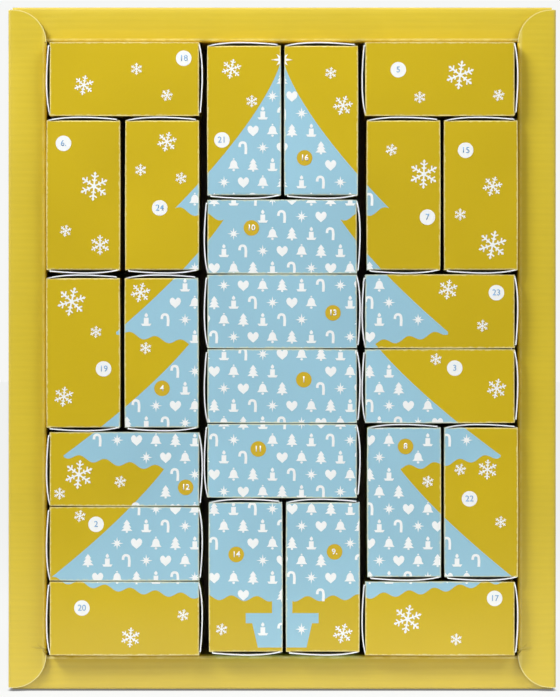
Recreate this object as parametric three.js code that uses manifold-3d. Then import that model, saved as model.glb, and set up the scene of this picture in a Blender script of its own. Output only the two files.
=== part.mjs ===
import * as THREE from 'three';
import { mergeVertices } from 'three/addons/utils/BufferGeometryUtils.js';
import Module from 'manifold-3d';

// An advent calendar: 24 folding cartons, each with a pouch of coffee in it, packed in a shallow
// corrugated tray with hollow walls. Millimetres, +Z up, the cartons face -Y, and the origin is
// under the middle of the calendar, which stands on the lower wall of its tray.

// Corrugated board of the tray
const TRAY_BOARD = 1.6;
const FOLD_RADIUS = 1.5;
const FOLD_STEPS = 3;

// Hollow walls of the tray
const SIDE_RIM_WIDTH = 18.9;
const END_RIM_WIDTH = 17.65;
const EAR_SETBACK = 1.5;
const EAR_STEPS = 12;
const CORNER_TAB_LENGTH = 14;
const CORNER_TAB_RELIEF = 1;
const LOCK_TAB_WIDTH = 24;
const LOCK_TAB_SETBACK = 0.3;
const SIDE_LOCK_TABS = 3;
const END_LOCK_TABS = 2;

// Folding cartons
const CARTON_BOARD = 0.5;
const CARTON_WIDTH = 36.6;
const CARTON_LENGTH = 74.2;
const CARTON_DEPTH = 38.5;
const CARTON_PROUD = 4.4;
const GLUE_FLAP_WIDTH = 10;
const GLUE_FLAP_SETBACK = 4;

// Lids, tuck flaps and dust flaps at the two ends of a carton
const LID_RISE = 1.7;
const LID_PEAK = 11;
const LID_STEPS = 7;
const LID_SETBACK = 0.1;
const TUCK_LIFT = 0.35;
const TUCK_GAP = 0.8;
const TUCK_LENGTH = 11;
const TUCK_CORNER_RADIUS = 5;
const DUST_FLAP_SPACING = 7;
const DUST_FLAP_CLEARANCE = 1.4;
const DUST_FLAP_TAPER = 3;

// Coffee pouches
const POUCH_DEPTH = 30;
const POUCH_SHOULDER = 13;
const POUCH_HEADROOM = 7;
const POUCH_CORNER = 5;
const SEAL_HEIGHT = 7;
const SEAL_THICKNESS = 1.4;

// Clearances between pieces that touch, and the play of the cartons in the tray
const FIT_GAP = 0.3;
const ROW_GAP = 0.35;
const BLOCK_PLAY = 0.4;
const PAIR_PLAY = 1.2;

// The tray holds three blocks side by side. From the top down, a block holds lying cartons, each
// across the whole block, and pairs of standing cartons. A pair has settled in the play that it has
// in its block: left is the share of the play on its left, between the share between its cartons.
const BLOCKS = [
  [
    { lying: '18' },
    { standing: ['06', '24'], left: 0.08, between: 0.49 },
    { standing: ['19', '04'], left: 0.07, between: 0.44 },
    { lying: '12' },
    { lying: '02' },
    { lying: '20' },
  ],
  [
    { standing: ['21', '16'], left: 0.39, between: 0.31 },
    { lying: '10' },
    { lying: '13' },
    { lying: '01' },
    { lying: '11' },
    { standing: ['14', '09'], left: 0.55, between: 0.32 },
  ],
  [
    { lying: '05' },
    { standing: ['07', '15'], left: 0.56, between: 0.34 },
    { lying: '23' },
    { lying: '03' },
    { standing: ['08', '22'], left: 0.62, between: 0.31 },
    { lying: '17' },
  ],
];

// Sizes that follow from the ones above
const lyingLength = CARTON_LENGTH + 2 * LID_RISE;
const pairWidth = 2 * CARTON_WIDTH;
const blockWidth = Math.max(lyingLength + BLOCK_PLAY, pairWidth + PAIR_PLAY);
const tierHeight = (tier) => (tier.lying ? CARTON_WIDTH : lyingLength);
const stackHeight = (block) => block.reduce((sum, tier) => sum + tierHeight(tier) + ROW_GAP, ROW_GAP);
const pocketWidth = BLOCKS.length * blockWidth;
const pocketHeight = Math.max(...BLOCKS.map(stackHeight));
const trayWidth = pocketWidth + 2 * SIDE_RIM_WIDTH;
const trayHeight = pocketHeight + 2 * END_RIM_WIDTH;
const seatDepth = TRAY_BOARD + FIT_GAP;
const cartonFront = seatDepth + CARTON_DEPTH;
const sideRimDepth = cartonFront - CARTON_PROUD;
const endRimDepth = sideRimDepth - TRAY_BOARD - FIT_GAP;

const wasm = await Module();
wasm.setup();

// A section drawn as (x, z) runs forward, from one depth to another, counted from the tray's back
const FORWARD = new THREE.Matrix4().makeBasis(
  new THREE.Vector3(1, 0, 0),
  new THREE.Vector3(0, 0, 1),
  new THREE.Vector3(0, -1, 0),
);

// A section drawn as (y, z) runs across, along +X
const ACROSS = new THREE.Matrix4().makeBasis(
  new THREE.Vector3(0, 1, 0),
  new THREE.Vector3(0, 0, 1),
  new THREE.Vector3(1, 0, 0),
);

const UPWARD = new THREE.Matrix4();

function prism(shape, from, to, direction) {
  const options = { depth: to - from, bevelEnabled: false, curveSegments: EAR_STEPS };
  return new THREE.ExtrudeGeometry(shape, options).translate(0, 0, from).applyMatrix4(direction);
}

function plate(low, high) {
  const size = high.map((value, axis) => value - low[axis]);
  const middle = high.map((value, axis) => (value + low[axis]) / 2);
  return new THREE.BoxGeometry(...size).translate(...middle);
}

function rectangle(low, high) {
  return new THREE.Shape([
    new THREE.Vector2(low[0], low[1]),
    new THREE.Vector2(high[0], low[1]),
    new THREE.Vector2(high[0], high[1]),
    new THREE.Vector2(low[0], high[1]),
  ]);
}

function solid(geometry) {
  const bare = geometry.clone();
  bare.deleteAttribute('normal');
  bare.deleteAttribute('uv');
  const merged = mergeVertices(bare, 1e-4);
  return new wasm.Manifold(
    new wasm.Mesh({
      numProp: 3,
      vertProperties: new Float32Array(merged.attributes.position.array),
      triVerts: new Uint32Array(merged.index.array),
    }),
  );
}

function join(geometries) {
  return geometries.map(solid).reduce((whole, part) => whole.add(part));
}

function surface(joined) {
  const { vertProperties, triVerts } = joined.getMesh();
  const geometry = new THREE.BufferGeometry();
  geometry.setAttribute('position', new THREE.BufferAttribute(vertProperties, 3));
  geometry.setIndex(new THREE.BufferAttribute(triVerts, 1));
  const faceted = geometry.toNonIndexed();
  faceted.computeVertexNormals();
  return faceted;
}

function piece(name, geometry, material) {
  const mesh = new THREE.Mesh(geometry, material);
  mesh.name = name;
  return mesh;
}

// Places of tabs spread evenly along a wall, counted from its middle
function spread(count, length) {
  return Array.from({ length: count }, (_, index) => ((index + 0.5) / count - 0.5) * length);
}

// A fold in the wall's section, as a quarter of a circle about its centre
function fold(centreX, centreY, fromAngle) {
  return Array.from({ length: FOLD_STEPS + 1 }, (_, step) => {
    const angle = fromAngle - (step / FOLD_STEPS) * (Math.PI / 2);
    return new THREE.Vector2(
      centreX + FOLD_RADIUS * Math.cos(angle),
      centreY - FOLD_RADIUS * Math.sin(angle),
    );
  });
}

// The section of a hollow wall, drawn with the tray's outer edge at x = 0 and its front at -y: the
// board goes up the outside, over the rim and, where it is rolled over, down to the tray's back.
function wallSection(width, depth, rolledOver) {
  const point = (x, fromBack) => new THREE.Vector2(x, -fromBack);
  const outerFold = fold(FOLD_RADIUS, FOLD_RADIUS - depth, Math.PI);
  const innerFold = fold(width - FOLD_RADIUS, FOLD_RADIUS - depth, Math.PI / 2);
  const rolledEnd = [
    ...innerFold,
    point(width, seatDepth),
    point(width - TRAY_BOARD, seatDepth),
    point(width - TRAY_BOARD, depth - TRAY_BOARD),
  ];
  const cutEnd = [point(width, depth), point(width, depth - TRAY_BOARD)];
  return new THREE.Shape([
    point(0, seatDepth),
    ...outerFold,
    ...(rolledOver ? rolledEnd : cutEnd),
    point(TRAY_BOARD, depth - TRAY_BOARD),
    point(TRAY_BOARD, seatDepth),
  ]);
}

// The inner wall's foot has tabs that lock into slots in the tray's back
function lockTabs(width, count, length) {
  return spread(count, length).map((middle) =>
    plate(
      [width - TRAY_BOARD, -seatDepth - TRAY_BOARD, middle - LOCK_TAB_WIDTH / 2],
      [width, -LOCK_TAB_SETBACK, middle + LOCK_TAB_WIDTH / 2],
    ),
  );
}

// An ear is the quarter-round end of a side rim, which lies over the end rim's corner
function ear(centreZ) {
  const round = new THREE.Shape();
  round.moveTo(0, centreZ);
  round.lineTo(SIDE_RIM_WIDTH, centreZ);
  round.absarc(0, centreZ, SIDE_RIM_WIDTH, 0, Math.PI / 2, false);
  const board = prism(
    wallSection(SIDE_RIM_WIDTH, sideRimDepth, false),
    centreZ,
    centreZ + SIDE_RIM_WIDTH,
    UPWARD,
  );
  return solid(board).intersect(solid(prism(round, seatDepth, sideRimDepth, FORWARD)));
}

// A side rim about its own middle, with the tray's edge at x = 0 and the pocket towards +X
function sideRim() {
  const earCentre = trayHeight / 2 - EAR_SETBACK - SIDE_RIM_WIDTH;
  const innerWallEnd = pocketHeight / 2 - FIT_GAP;
  const rolled = prism(
    wallSection(SIDE_RIM_WIDTH, sideRimDepth, true),
    -earCentre,
    earCentre,
    UPWARD,
  );
  const innerWall = plate(
    [SIDE_RIM_WIDTH - TRAY_BOARD, -sideRimDepth + TRAY_BOARD / 2, -innerWallEnd],
    [SIDE_RIM_WIDTH, -seatDepth, innerWallEnd],
  );
  const tabs = lockTabs(SIDE_RIM_WIDTH, SIDE_LOCK_TABS, pocketHeight);
  const upperEar = ear(earCentre);
  return join([rolled, innerWall, ...tabs]).add(upperEar).add(upperEar.mirror([0, 0, 1]));
}

// An end rim about its own middle, in the same frame. Its corner tabs turn in behind the ears.
function endRim() {
  const halfLength = trayWidth / 2 - TRAY_BOARD - FIT_GAP;
  const halfPocket = pocketWidth / 2;
  const rolled = prism(
    wallSection(END_RIM_WIDTH, endRimDepth, true),
    -halfPocket,
    halfPocket,
    UPWARD,
  );
  const corners = prism(
    wallSection(END_RIM_WIDTH, endRimDepth, false),
    halfPocket - TRAY_BOARD,
    halfLength,
    UPWARD,
  );
  const cornerTab = plate(
    [TRAY_BOARD / 2, -endRimDepth + TRAY_BOARD + CORNER_TAB_RELIEF, halfLength - TRAY_BOARD],
    [CORNER_TAB_LENGTH, -seatDepth - CORNER_TAB_RELIEF, halfLength],
  );
  const upperCorner = join([corners, cornerTab]);
  const tabs = lockTabs(END_RIM_WIDTH, END_LOCK_TABS, pocketWidth);
  return join([rolled, ...tabs]).add(upperCorner).add(upperCorner.mirror([0, 0, 1]));
}

// The tray's back, about its own middle, with a slot for each lock tab
function backPanel() {
  const across = trayWidth / 2;
  const up = trayHeight / 2;
  const slotHalfLength = LOCK_TAB_WIDTH / 2 + FIT_GAP;
  const inner = -FIT_GAP;
  const outer = TRAY_BOARD + FIT_GAP;
  const slots = [-1, 1].flatMap((side) => {
    const sideSpan = [inner, outer].map((offset) => side * (pocketWidth / 2 + offset)).sort(ascending);
    const endSpan = [inner, outer].map((offset) => side * (pocketHeight / 2 + offset)).sort(ascending);
    const sideSlots = spread(SIDE_LOCK_TABS, pocketHeight).map((middle) =>
      slot(sideSpan, [middle - slotHalfLength, middle + slotHalfLength]),
    );
    const endSlots = spread(END_LOCK_TABS, pocketWidth).map((middle) =>
      slot([middle - slotHalfLength, middle + slotHalfLength], endSpan),
    );
    return [...sideSlots, ...endSlots];
  });
  const panel = solid(plate([-across, -TRAY_BOARD, -up], [across, 0, up]));
  return slots.reduce((cut, opening) => cut.subtract(solid(opening)), panel);
}

function ascending(first, second) {
  return first - second;
}

// A cutter through the tray's back, over a span of x and a span of z
function slot([lowX, highX], [lowZ, highZ]) {
  return plate([lowX, -2 * TRAY_BOARD, lowZ], [highX, TRAY_BOARD, highZ]);
}

// A carton about its own middle: +Z along its length, its printed face at -CARTON_DEPTH. Its lids
// are hinged on opposite sides, so one end is the other turned half round.
function sleeve() {
  const halfWidth = CARTON_WIDTH / 2;
  const tube = rectangle([-halfWidth, -CARTON_DEPTH], [halfWidth, 0]);
  tube.holes.push(
    rectangle(
      [-halfWidth + CARTON_BOARD, -CARTON_DEPTH + CARTON_BOARD],
      [halfWidth - CARTON_BOARD, -CARTON_BOARD],
    ),
  );
  const flapEnd = CARTON_LENGTH / 2 - GLUE_FLAP_SETBACK;
  const glueFlap = plate(
    [-halfWidth + CARTON_BOARD / 2, -2 * CARTON_BOARD, -flapEnd],
    [-halfWidth + CARTON_BOARD + GLUE_FLAP_WIDTH, -CARTON_BOARD / 2, flapEnd],
  );
  return [prism(tube, -CARTON_LENGTH / 2, CARTON_LENGTH / 2, UPWARD), glueFlap];
}

// The lid springs up from its hinge to a peak and comes down to its fold. Its end stands at
// endHeight, and the control point's height is the one that brings the curve's peak to LID_RISE.
function lid() {
  const hinge = -CARTON_WIDTH / 2;
  const foldX = CARTON_WIDTH / 2 - CARTON_BOARD - TUCK_GAP;
  const endHeight = CARTON_BOARD + TUCK_LIFT;
  const controlHeight = LID_RISE + Math.sqrt(LID_RISE * (LID_RISE - endHeight));
  const crease = CARTON_LENGTH / 2;
  const curve = new THREE.QuadraticBezierCurve(
    new THREE.Vector2(hinge, crease),
    new THREE.Vector2(hinge + LID_PEAK, crease + controlHeight),
    new THREE.Vector2(foldX, crease + endHeight),
  );
  const outside = curve.getPoints(LID_STEPS);
  const inside = outside.map(({ x, y }) => new THREE.Vector2(x, y - CARTON_BOARD)).reverse();
  const section = new THREE.Shape([...outside, ...inside]);
  return prism(section, LID_SETBACK, CARTON_DEPTH - LID_SETBACK, FORWARD);
}

function tuckFlap() {
  const outerX = CARTON_WIDTH / 2 - CARTON_BOARD - TUCK_GAP;
  const crease = CARTON_LENGTH / 2;
  const front = -CARTON_DEPTH + CARTON_BOARD + TUCK_GAP;
  const back = -2 * CARTON_BOARD - TUCK_GAP;
  const tip = crease - TUCK_LENGTH;
  const outline = new THREE.Shape();
  outline.moveTo(front, crease + TUCK_LIFT + CARTON_BOARD / 2);
  outline.lineTo(front, tip + TUCK_CORNER_RADIUS);
  outline.quadraticCurveTo(front, tip, front + TUCK_CORNER_RADIUS, tip);
  outline.lineTo(back - TUCK_CORNER_RADIUS, tip);
  outline.quadraticCurveTo(back, tip, back, tip + TUCK_CORNER_RADIUS);
  outline.lineTo(back, crease + TUCK_LIFT + CARTON_BOARD / 2);
  const options = { depth: CARTON_BOARD, bevelEnabled: false, curveSegments: 2 };
  const flap = new THREE.ExtrudeGeometry(outline, options);
  return flap.translate(0, 0, outerX - CARTON_BOARD).applyMatrix4(ACROSS);
}

// Two dust flaps fold in from the front and the back, short of each other and of the tuck flap
function dustFlaps() {
  const hingeSide = -CARTON_WIDTH / 2 + CARTON_BOARD + DUST_FLAP_CLEARANCE;
  const tuckSide = CARTON_WIDTH / 2 - 2 * CARTON_BOARD - TUCK_GAP - FIT_GAP;
  const middle = -CARTON_DEPTH / 2;
  const crease = CARTON_LENGTH / 2;
  return [-1, 1].map((side) => {
    const root = middle + side * (CARTON_DEPTH / 2 - CARTON_BOARD / 2);
    const tip = middle + side * (DUST_FLAP_SPACING / 2);
    const outline = new THREE.Shape([
      new THREE.Vector2(hingeSide, root),
      new THREE.Vector2(tuckSide, root),
      new THREE.Vector2(tuckSide - DUST_FLAP_TAPER, tip),
      new THREE.Vector2(hingeSide + DUST_FLAP_TAPER, tip),
    ]);
    return prism(outline, crease - CARTON_BOARD, crease, UPWARD);
  });
}

function carton() {
  const end = [lid(), tuckFlap(), ...dustFlaps()];
  const otherEnd = end.map((flap) => flap.clone().rotateY(Math.PI));
  return join([...sleeve(), ...end, ...otherEnd]);
}

// A side-gusset pouch about the carton's middle: it stands on the lower dust flaps, fills the
// carton from side to side and closes in a flat seal below the upper end.
function pouch() {
  const floor = -CARTON_LENGTH / 2 + CARTON_BOARD + FIT_GAP;
  const top = CARTON_LENGTH / 2 - CARTON_BOARD - POUCH_HEADROOM;
  const full = CARTON_WIDTH / 2 - CARTON_BOARD - FIT_GAP;
  const narrow = full - CARTON_BOARD - TUCK_GAP;
  const halfDepth = POUCH_DEPTH / 2;
  const seal = SEAL_THICKNESS / 2;
  const rings = [
    { z: floor, x: narrow, y: halfDepth - POUCH_CORNER / 2, cut: POUCH_CORNER },
    { z: floor + TUCK_LENGTH, x: narrow, y: halfDepth, cut: POUCH_CORNER },
    { z: floor + TUCK_LENGTH + POUCH_CORNER, x: full, y: halfDepth, cut: POUCH_CORNER },
    { z: top - SEAL_HEIGHT - POUCH_SHOULDER, x: full, y: halfDepth, cut: POUCH_CORNER },
    { z: top - SEAL_HEIGHT, x: narrow, y: seal, cut: seal / 2 },
    { z: top, x: narrow, y: seal, cut: seal / 2 },
  ];
  return loft(rings.map(chamferedRing)).translate(0, -(CARTON_DEPTH + CARTON_BOARD) / 2, 0);
}

function chamferedRing({ z, x, y, cut }) {
  const quarter = [
    [x, y - cut],
    [x - cut, y],
  ];
  const half = [...quarter, ...quarter.map(([px, py]) => [-px, py]).reverse()];
  const whole = [...half, ...half.map(([px, py]) => [-px, -py])];
  return whole.map(([px, py]) => new THREE.Vector3(px, py, z));
}

// Joins rings of points, from the lowest up, into one closed skin
function loft(rings) {
  const size = rings[0].length;
  const index = [];
  for (let ring = 0; ring < rings.length - 1; ring += 1) {
    for (let step = 0; step < size; step += 1) {
      const low = ring * size + step;
      const next = ring * size + ((step + 1) % size);
      index.push(low, next, next + size, low, next + size, low + size);
    }
  }
  const last = (rings.length - 1) * size;
  for (let step = 1; step < size - 1; step += 1) {
    index.push(0, step + 1, step, last, last + step, last + step + 1);
  }
  const geometry = new THREE.BufferGeometry().setFromPoints(rings.flat());
  geometry.setIndex(index);
  geometry.computeVertexNormals();
  return geometry;
}

// Where each carton stands: its label, the middle of its face and whether it lies on its side
function places() {
  const found = [];
  BLOCKS.forEach((block, column) => {
    const blockLeft = -pocketWidth / 2 + column * blockWidth;
    let top = trayHeight - END_RIM_WIDTH - ROW_GAP;
    for (const tier of block) {
      const z = top - tierHeight(tier) / 2;
      if (tier.lying) {
        found.push({ label: tier.lying, x: blockLeft + blockWidth / 2, z, lying: true });
      } else {
        const play = blockWidth - pairWidth;
        const [first, second] = tier.standing;
        const x = blockLeft + tier.left * play + CARTON_WIDTH / 2;
        found.push({ label: first, x, z, lying: false });
        found.push({ label: second, x: x + CARTON_WIDTH + tier.between * play, z, lying: false });
      }
      top -= tierHeight(tier) + ROW_GAP;
    }
  });
  return found;
}

const gold = (tint) => new THREE.MeshStandardMaterial({ color: tint, roughness: 0.45, metalness: 0.1 });
const lightBlue = () => new THREE.MeshStandardMaterial({ color: 0x97c7dc, roughness: 0.5, metalness: 0 });
const kraft = () => new THREE.MeshStandardMaterial({ color: 0xb98f5e, roughness: 0.8, metalness: 0 });

const calendar = new THREE.Group();
calendar.position.y = cartonFront / 2;

const back = piece('back_panel', surface(backPanel()), gold(0xd8bd3a));
back.position.z = trayHeight / 2;
calendar.add(back);

const sideRimShape = surface(sideRim());
const endRimShape = surface(endRim());
const rims = [
  { name: 'rim_left', shape: sideRimShape, x: -trayWidth / 2, z: trayHeight / 2, turn: 0 },
  { name: 'rim_right', shape: sideRimShape, x: trayWidth / 2, z: trayHeight / 2, turn: Math.PI },
  { name: 'rim_top', shape: endRimShape, x: 0, z: trayHeight, turn: Math.PI / 2 },
  { name: 'rim_bottom', shape: endRimShape, x: 0, z: 0, turn: -Math.PI / 2 },
];
for (const { name, shape, x, z, turn } of rims) {
  const rim = piece(name, shape, gold(0xdfc63c));
  rim.position.set(x, 0, z);
  rim.rotation.y = turn;
  calendar.add(rim);
}

const cartonShape = surface(carton());
const pouchShape = pouch();
const blueCartons = new Set(['10', '13', '01', '11', '14', '09']);
for (const { label, x, z, lying } of places()) {
  const box = new THREE.Group();
  box.position.set(x, -seatDepth, z);
  box.rotation.y = lying ? Math.PI / 2 : 0;
  const print = blueCartons.has(label) ? lightBlue() : gold(0xcfb535);
  box.add(piece(`carton_${label}`, cartonShape, print));
  box.add(piece(`coffee_pouch_${label}`, pouchShape, kraft()));
  calendar.add(box);
}

export default calendar;
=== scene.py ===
"""The looks of a coffee advent calendar: tray, cartons, their print and the pouches inside."""

from __future__ import annotations

import logging
import math
from collections.abc import Callable, Iterable, Sequence
from dataclasses import dataclass, field
from enum import Enum
from functools import reduce

import bmesh
import bpy
from mathutils import Matrix, Vector, noise

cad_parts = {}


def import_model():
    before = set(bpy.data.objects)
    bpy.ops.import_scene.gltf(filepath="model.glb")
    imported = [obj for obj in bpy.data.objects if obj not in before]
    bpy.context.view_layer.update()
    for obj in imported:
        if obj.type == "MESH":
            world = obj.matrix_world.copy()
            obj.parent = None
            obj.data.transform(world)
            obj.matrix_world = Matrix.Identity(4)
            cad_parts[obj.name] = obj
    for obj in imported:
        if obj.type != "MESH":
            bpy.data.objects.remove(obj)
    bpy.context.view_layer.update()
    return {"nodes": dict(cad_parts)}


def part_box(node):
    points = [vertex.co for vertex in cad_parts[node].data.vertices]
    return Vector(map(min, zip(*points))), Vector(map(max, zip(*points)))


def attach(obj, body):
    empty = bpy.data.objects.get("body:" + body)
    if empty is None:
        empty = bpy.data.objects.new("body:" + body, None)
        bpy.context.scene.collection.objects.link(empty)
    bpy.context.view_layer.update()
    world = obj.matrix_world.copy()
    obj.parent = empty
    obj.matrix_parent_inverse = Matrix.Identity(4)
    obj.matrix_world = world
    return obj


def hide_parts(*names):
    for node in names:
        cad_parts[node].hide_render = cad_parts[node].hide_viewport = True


log = logging.getLogger("calendar")

MM = 0.001
NEAR = 0.02
FACING = 0.98

Colour = tuple[float, float, float]
Outline = Sequence[tuple[float, float, bool]]
Socket = bpy.types.NodeSocket


def shade(red: int, green: int, blue: int) -> Colour:
    """Turns a colour as it is seen on a screen into linear light.

    Args:
        red: Red from 0 to 255.
        green: Green from 0 to 255.
        blue: Blue from 0 to 255.

    Returns:
        The three channels from 0 to 1.
    """
    parts = (red / 255, green / 255, blue / 255)
    return tuple(c / 12.92 if c < 0.04045 else ((c + 0.055) / 1.055) ** 2.4 for c in parts)


GOLD = shade(207, 179, 24)
TRAY_GOLD = shade(217, 191, 32)
LIGHT_BLUE = shade(157, 203, 222)
INK_WHITE = shade(243, 245, 244)
PALE_BOARD = shade(246, 249, 253)
GREY_BOARD = shade(196, 190, 178)
KRAFT = shade(178, 139, 96)


class Kind(Enum):
    """What is picked on a mesh, as Blender's select mode."""

    CORNER = (True, False, False)
    EDGE = (False, True, False)
    FACE = (False, False, True)


def clear_bench() -> None:
    """Leaves edit mode and deselects everything."""
    if bpy.context.mode != "OBJECT":
        bpy.ops.object.mode_set(mode="OBJECT")
    bpy.ops.object.select_all(action="DESELECT")


def take_up(*objs: bpy.types.Object) -> None:
    """Leaves edit mode and selects objects, the first of them as the active one."""
    clear_bench()
    for obj in objs:
        obj.select_set(True)
    bpy.context.view_layer.objects.active = objs[0]


class Workpiece:
    """A mesh on the bench, in millimetres, whose corners, edges and faces are picked by place."""

    def __init__(self, obj: bpy.types.Object) -> None:
        """Takes an object of one mesh and opens it for editing."""
        self.obj = obj
        self.open()

    @classmethod
    def block(cls, name: str, low: Sequence[float], high: Sequence[float]) -> Workpiece:
        """Adds a block.

        Args:
            name: The object's name.
            low: Its lowest corner.
            high: Its highest corner.

        Returns:
            The block, open for editing.
        """
        clear_bench()
        size = [b - a for a, b in zip(low, high)]
        middle = [(a + b) / 2 for a, b in zip(low, high)]
        bpy.ops.mesh.primitive_cube_add(size=1, location=middle, scale=size)
        bpy.ops.object.transform_apply(location=True, rotation=True, scale=True)
        bpy.context.object.name = name
        return cls(bpy.context.object)

    def open(self) -> None:
        """Opens the mesh for editing, with nothing else selected."""
        self.close()
        bpy.ops.object.mode_set(mode="EDIT")

    def close(self) -> bpy.types.Object:
        """Leaves edit mode, with the object alone selected, and returns it."""
        take_up(self.obj)
        return self.obj

    def pick(self, kind: Kind, where: Callable[[Vector], bool]) -> None:
        """Selects the parts whose corners all pass a test.

        Args:
            kind: Corners, edges or faces.
            where: The test of a corner's place.
        """
        bpy.context.tool_settings.mesh_select_mode = kind.value
        mesh = bmesh.from_edit_mesh(self.obj.data)
        for corner in mesh.verts:
            corner.select = False
        mesh.select_flush(False)
        parts = {Kind.CORNER: mesh.verts, Kind.EDGE: mesh.edges, Kind.FACE: mesh.faces}[kind]
        for part in parts:
            corners = [part] if kind is Kind.CORNER else part.verts
            if all(where(corner.co) for corner in corners):
                part.select_set(True)
        bmesh.update_edit_mesh(self.obj.data)

    def pick_facing(self, direction: Sequence[float]) -> None:
        """Selects the faces that look one way.

        Args:
            direction: The way.
        """
        bpy.context.tool_settings.mesh_select_mode = Kind.FACE.value
        mesh = bmesh.from_edit_mesh(self.obj.data)
        mesh.normal_update()
        for face in mesh.faces:
            face.select_set(False)
        for face in mesh.faces:
            if face.normal.dot(Vector(direction)) > FACING:
                face.select_set(True)
        bmesh.update_edit_mesh(self.obj.data)

    def delete_faces(self) -> None:
        """Takes the picked faces away."""
        bpy.ops.mesh.delete(type="FACE")

    def extrude(self, *steps: Sequence[float]) -> None:
        """Draws the picked edges out, once for each step."""
        for step in steps:
            bpy.ops.mesh.extrude_region_move(TRANSFORM_OT_translate={"value": tuple(step)})

    def stretch(self, factors: Sequence[float], about: Sequence[float]) -> None:
        """Scales what is picked about a point."""
        bpy.ops.transform.resize(value=tuple(factors), center_override=tuple(about))

    def round(self, radius: float, segments: int, corners: bool = False) -> None:
        """Rounds the picked edges, or the picked corners of a sheet."""
        affect = "VERTICES" if corners else "EDGES"
        bpy.ops.mesh.bevel(offset=radius, segments=segments, profile=0.5, affect=affect)

    @staticmethod
    def _plane(axis: int, place: float) -> dict[str, list[float]]:
        """Describes a plane square to an axis.

        Args:
            axis: The axis.
            place: Where on it the plane is.

        Returns:
            The plane, as a cut takes it.
        """
        point, normal = [0.0, 0.0, 0.0], [0.0, 0.0, 0.0]
        point[axis], normal[axis] = place, 1.0
        return {"plane_co": point, "plane_no": normal}

    def score(self, axis: int, places: Iterable[float]) -> None:
        """Cuts edges across the whole mesh.

        Args:
            axis: The axis that the cuts stand square to.
            places: Where on that axis they are.
        """
        for place in places:
            bpy.ops.mesh.select_all(action="SELECT")
            bpy.ops.mesh.bisect(**self._plane(axis, place))

    def trim(self, axis: int, place: float, keep_below: bool) -> None:
        """Cuts away all that lies past a plane.

        Args:
            axis: The axis that the cut stands square to.
            place: Where on that axis it is.
            keep_below: True keeps the lower side.
        """
        bpy.ops.mesh.select_all(action="SELECT")
        bpy.ops.mesh.bisect(
            **self._plane(axis, place), clear_outer=keep_below, clear_inner=not keep_below
        )

    def modify(self, kind: str, **settings: object) -> None:
        """Adds a modifier and applies it.

        Args:
            kind: Blender's name of the modifier.
            **settings: Its settings.
        """
        self.close()
        modifier = self.obj.modifiers.new(kind.lower(), kind)
        for name, value in settings.items():
            setattr(modifier, name, value)
        bpy.ops.object.modifier_apply(modifier=modifier.name)
        self.open()

    def thicken(self, thickness: float) -> None:
        """Gives a sheet its thickness, inwards, and its inside and cut edges their own finishes."""
        self.modify(
            "SOLIDIFY",
            thickness=thickness,
            offset=-1,
            use_even_offset=True,
            material_offset=1,
            material_offset_rim=2,
        )

    def finish(self, angle: float = 35) -> bpy.types.Object:
        """Smooths the shape.

        Args:
            angle: Faces that meet at less than this many degrees look like one.

        Returns:
            The object, out of edit mode.
        """
        obj = self.close()
        bpy.ops.object.shade_smooth_by_angle(angle=math.radians(angle))
        return obj


def move_corners(obj: bpy.types.Object, shift: Callable[[Vector], Vector]) -> None:
    """Moves each corner of a mesh.

    Args:
        obj: The object.
        shift: Gives a corner's new place from its old one.
    """
    for corner in obj.data.vertices:
        corner.co = shift(corner.co)
    obj.data.update()


def twin(obj: bpy.types.Object, name: str) -> bpy.types.Object:
    """Copies an object with a mesh of its own.

    Args:
        obj: The object.
        name: The copy's name.

    Returns:
        The copy.
    """
    copy = obj.copy()
    copy.data = obj.data.copy()
    copy.name = name
    bpy.context.scene.collection.objects.link(copy)
    return copy


def discard(*objs: bpy.types.Object) -> None:
    """Takes masters and cutters off the bench."""
    for obj in objs:
        bpy.data.objects.remove(obj)


def clamp(value: float, low: float = 0.0) -> float:
    """Keeps a number between a low one and 1."""
    return max(low, min(1.0, value))


def spread(count: int, half: float) -> list[float]:
    """Returns the middles of a number of equal shares of a length, of which half is given."""
    return [((number + 0.5) / count - 0.5) * 2 * half for number in range(count)]


def hand_over(piece: bpy.types.Object, body: str, node: str | None = None) -> None:
    """Brings a finished piece to metres and sets it on the frame.

    Args:
        piece: The piece, in millimetres.
        body: The body that it rides.
        node: The CAD node that it takes the place of, if any.
    """
    piece.data.transform(Matrix.Scale(MM, 4))
    piece.data.update()
    if node is not None:
        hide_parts(node)
    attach(piece, body)
    log.info("%s: %d faces", piece.name, len(piece.data.polygons))


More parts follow.
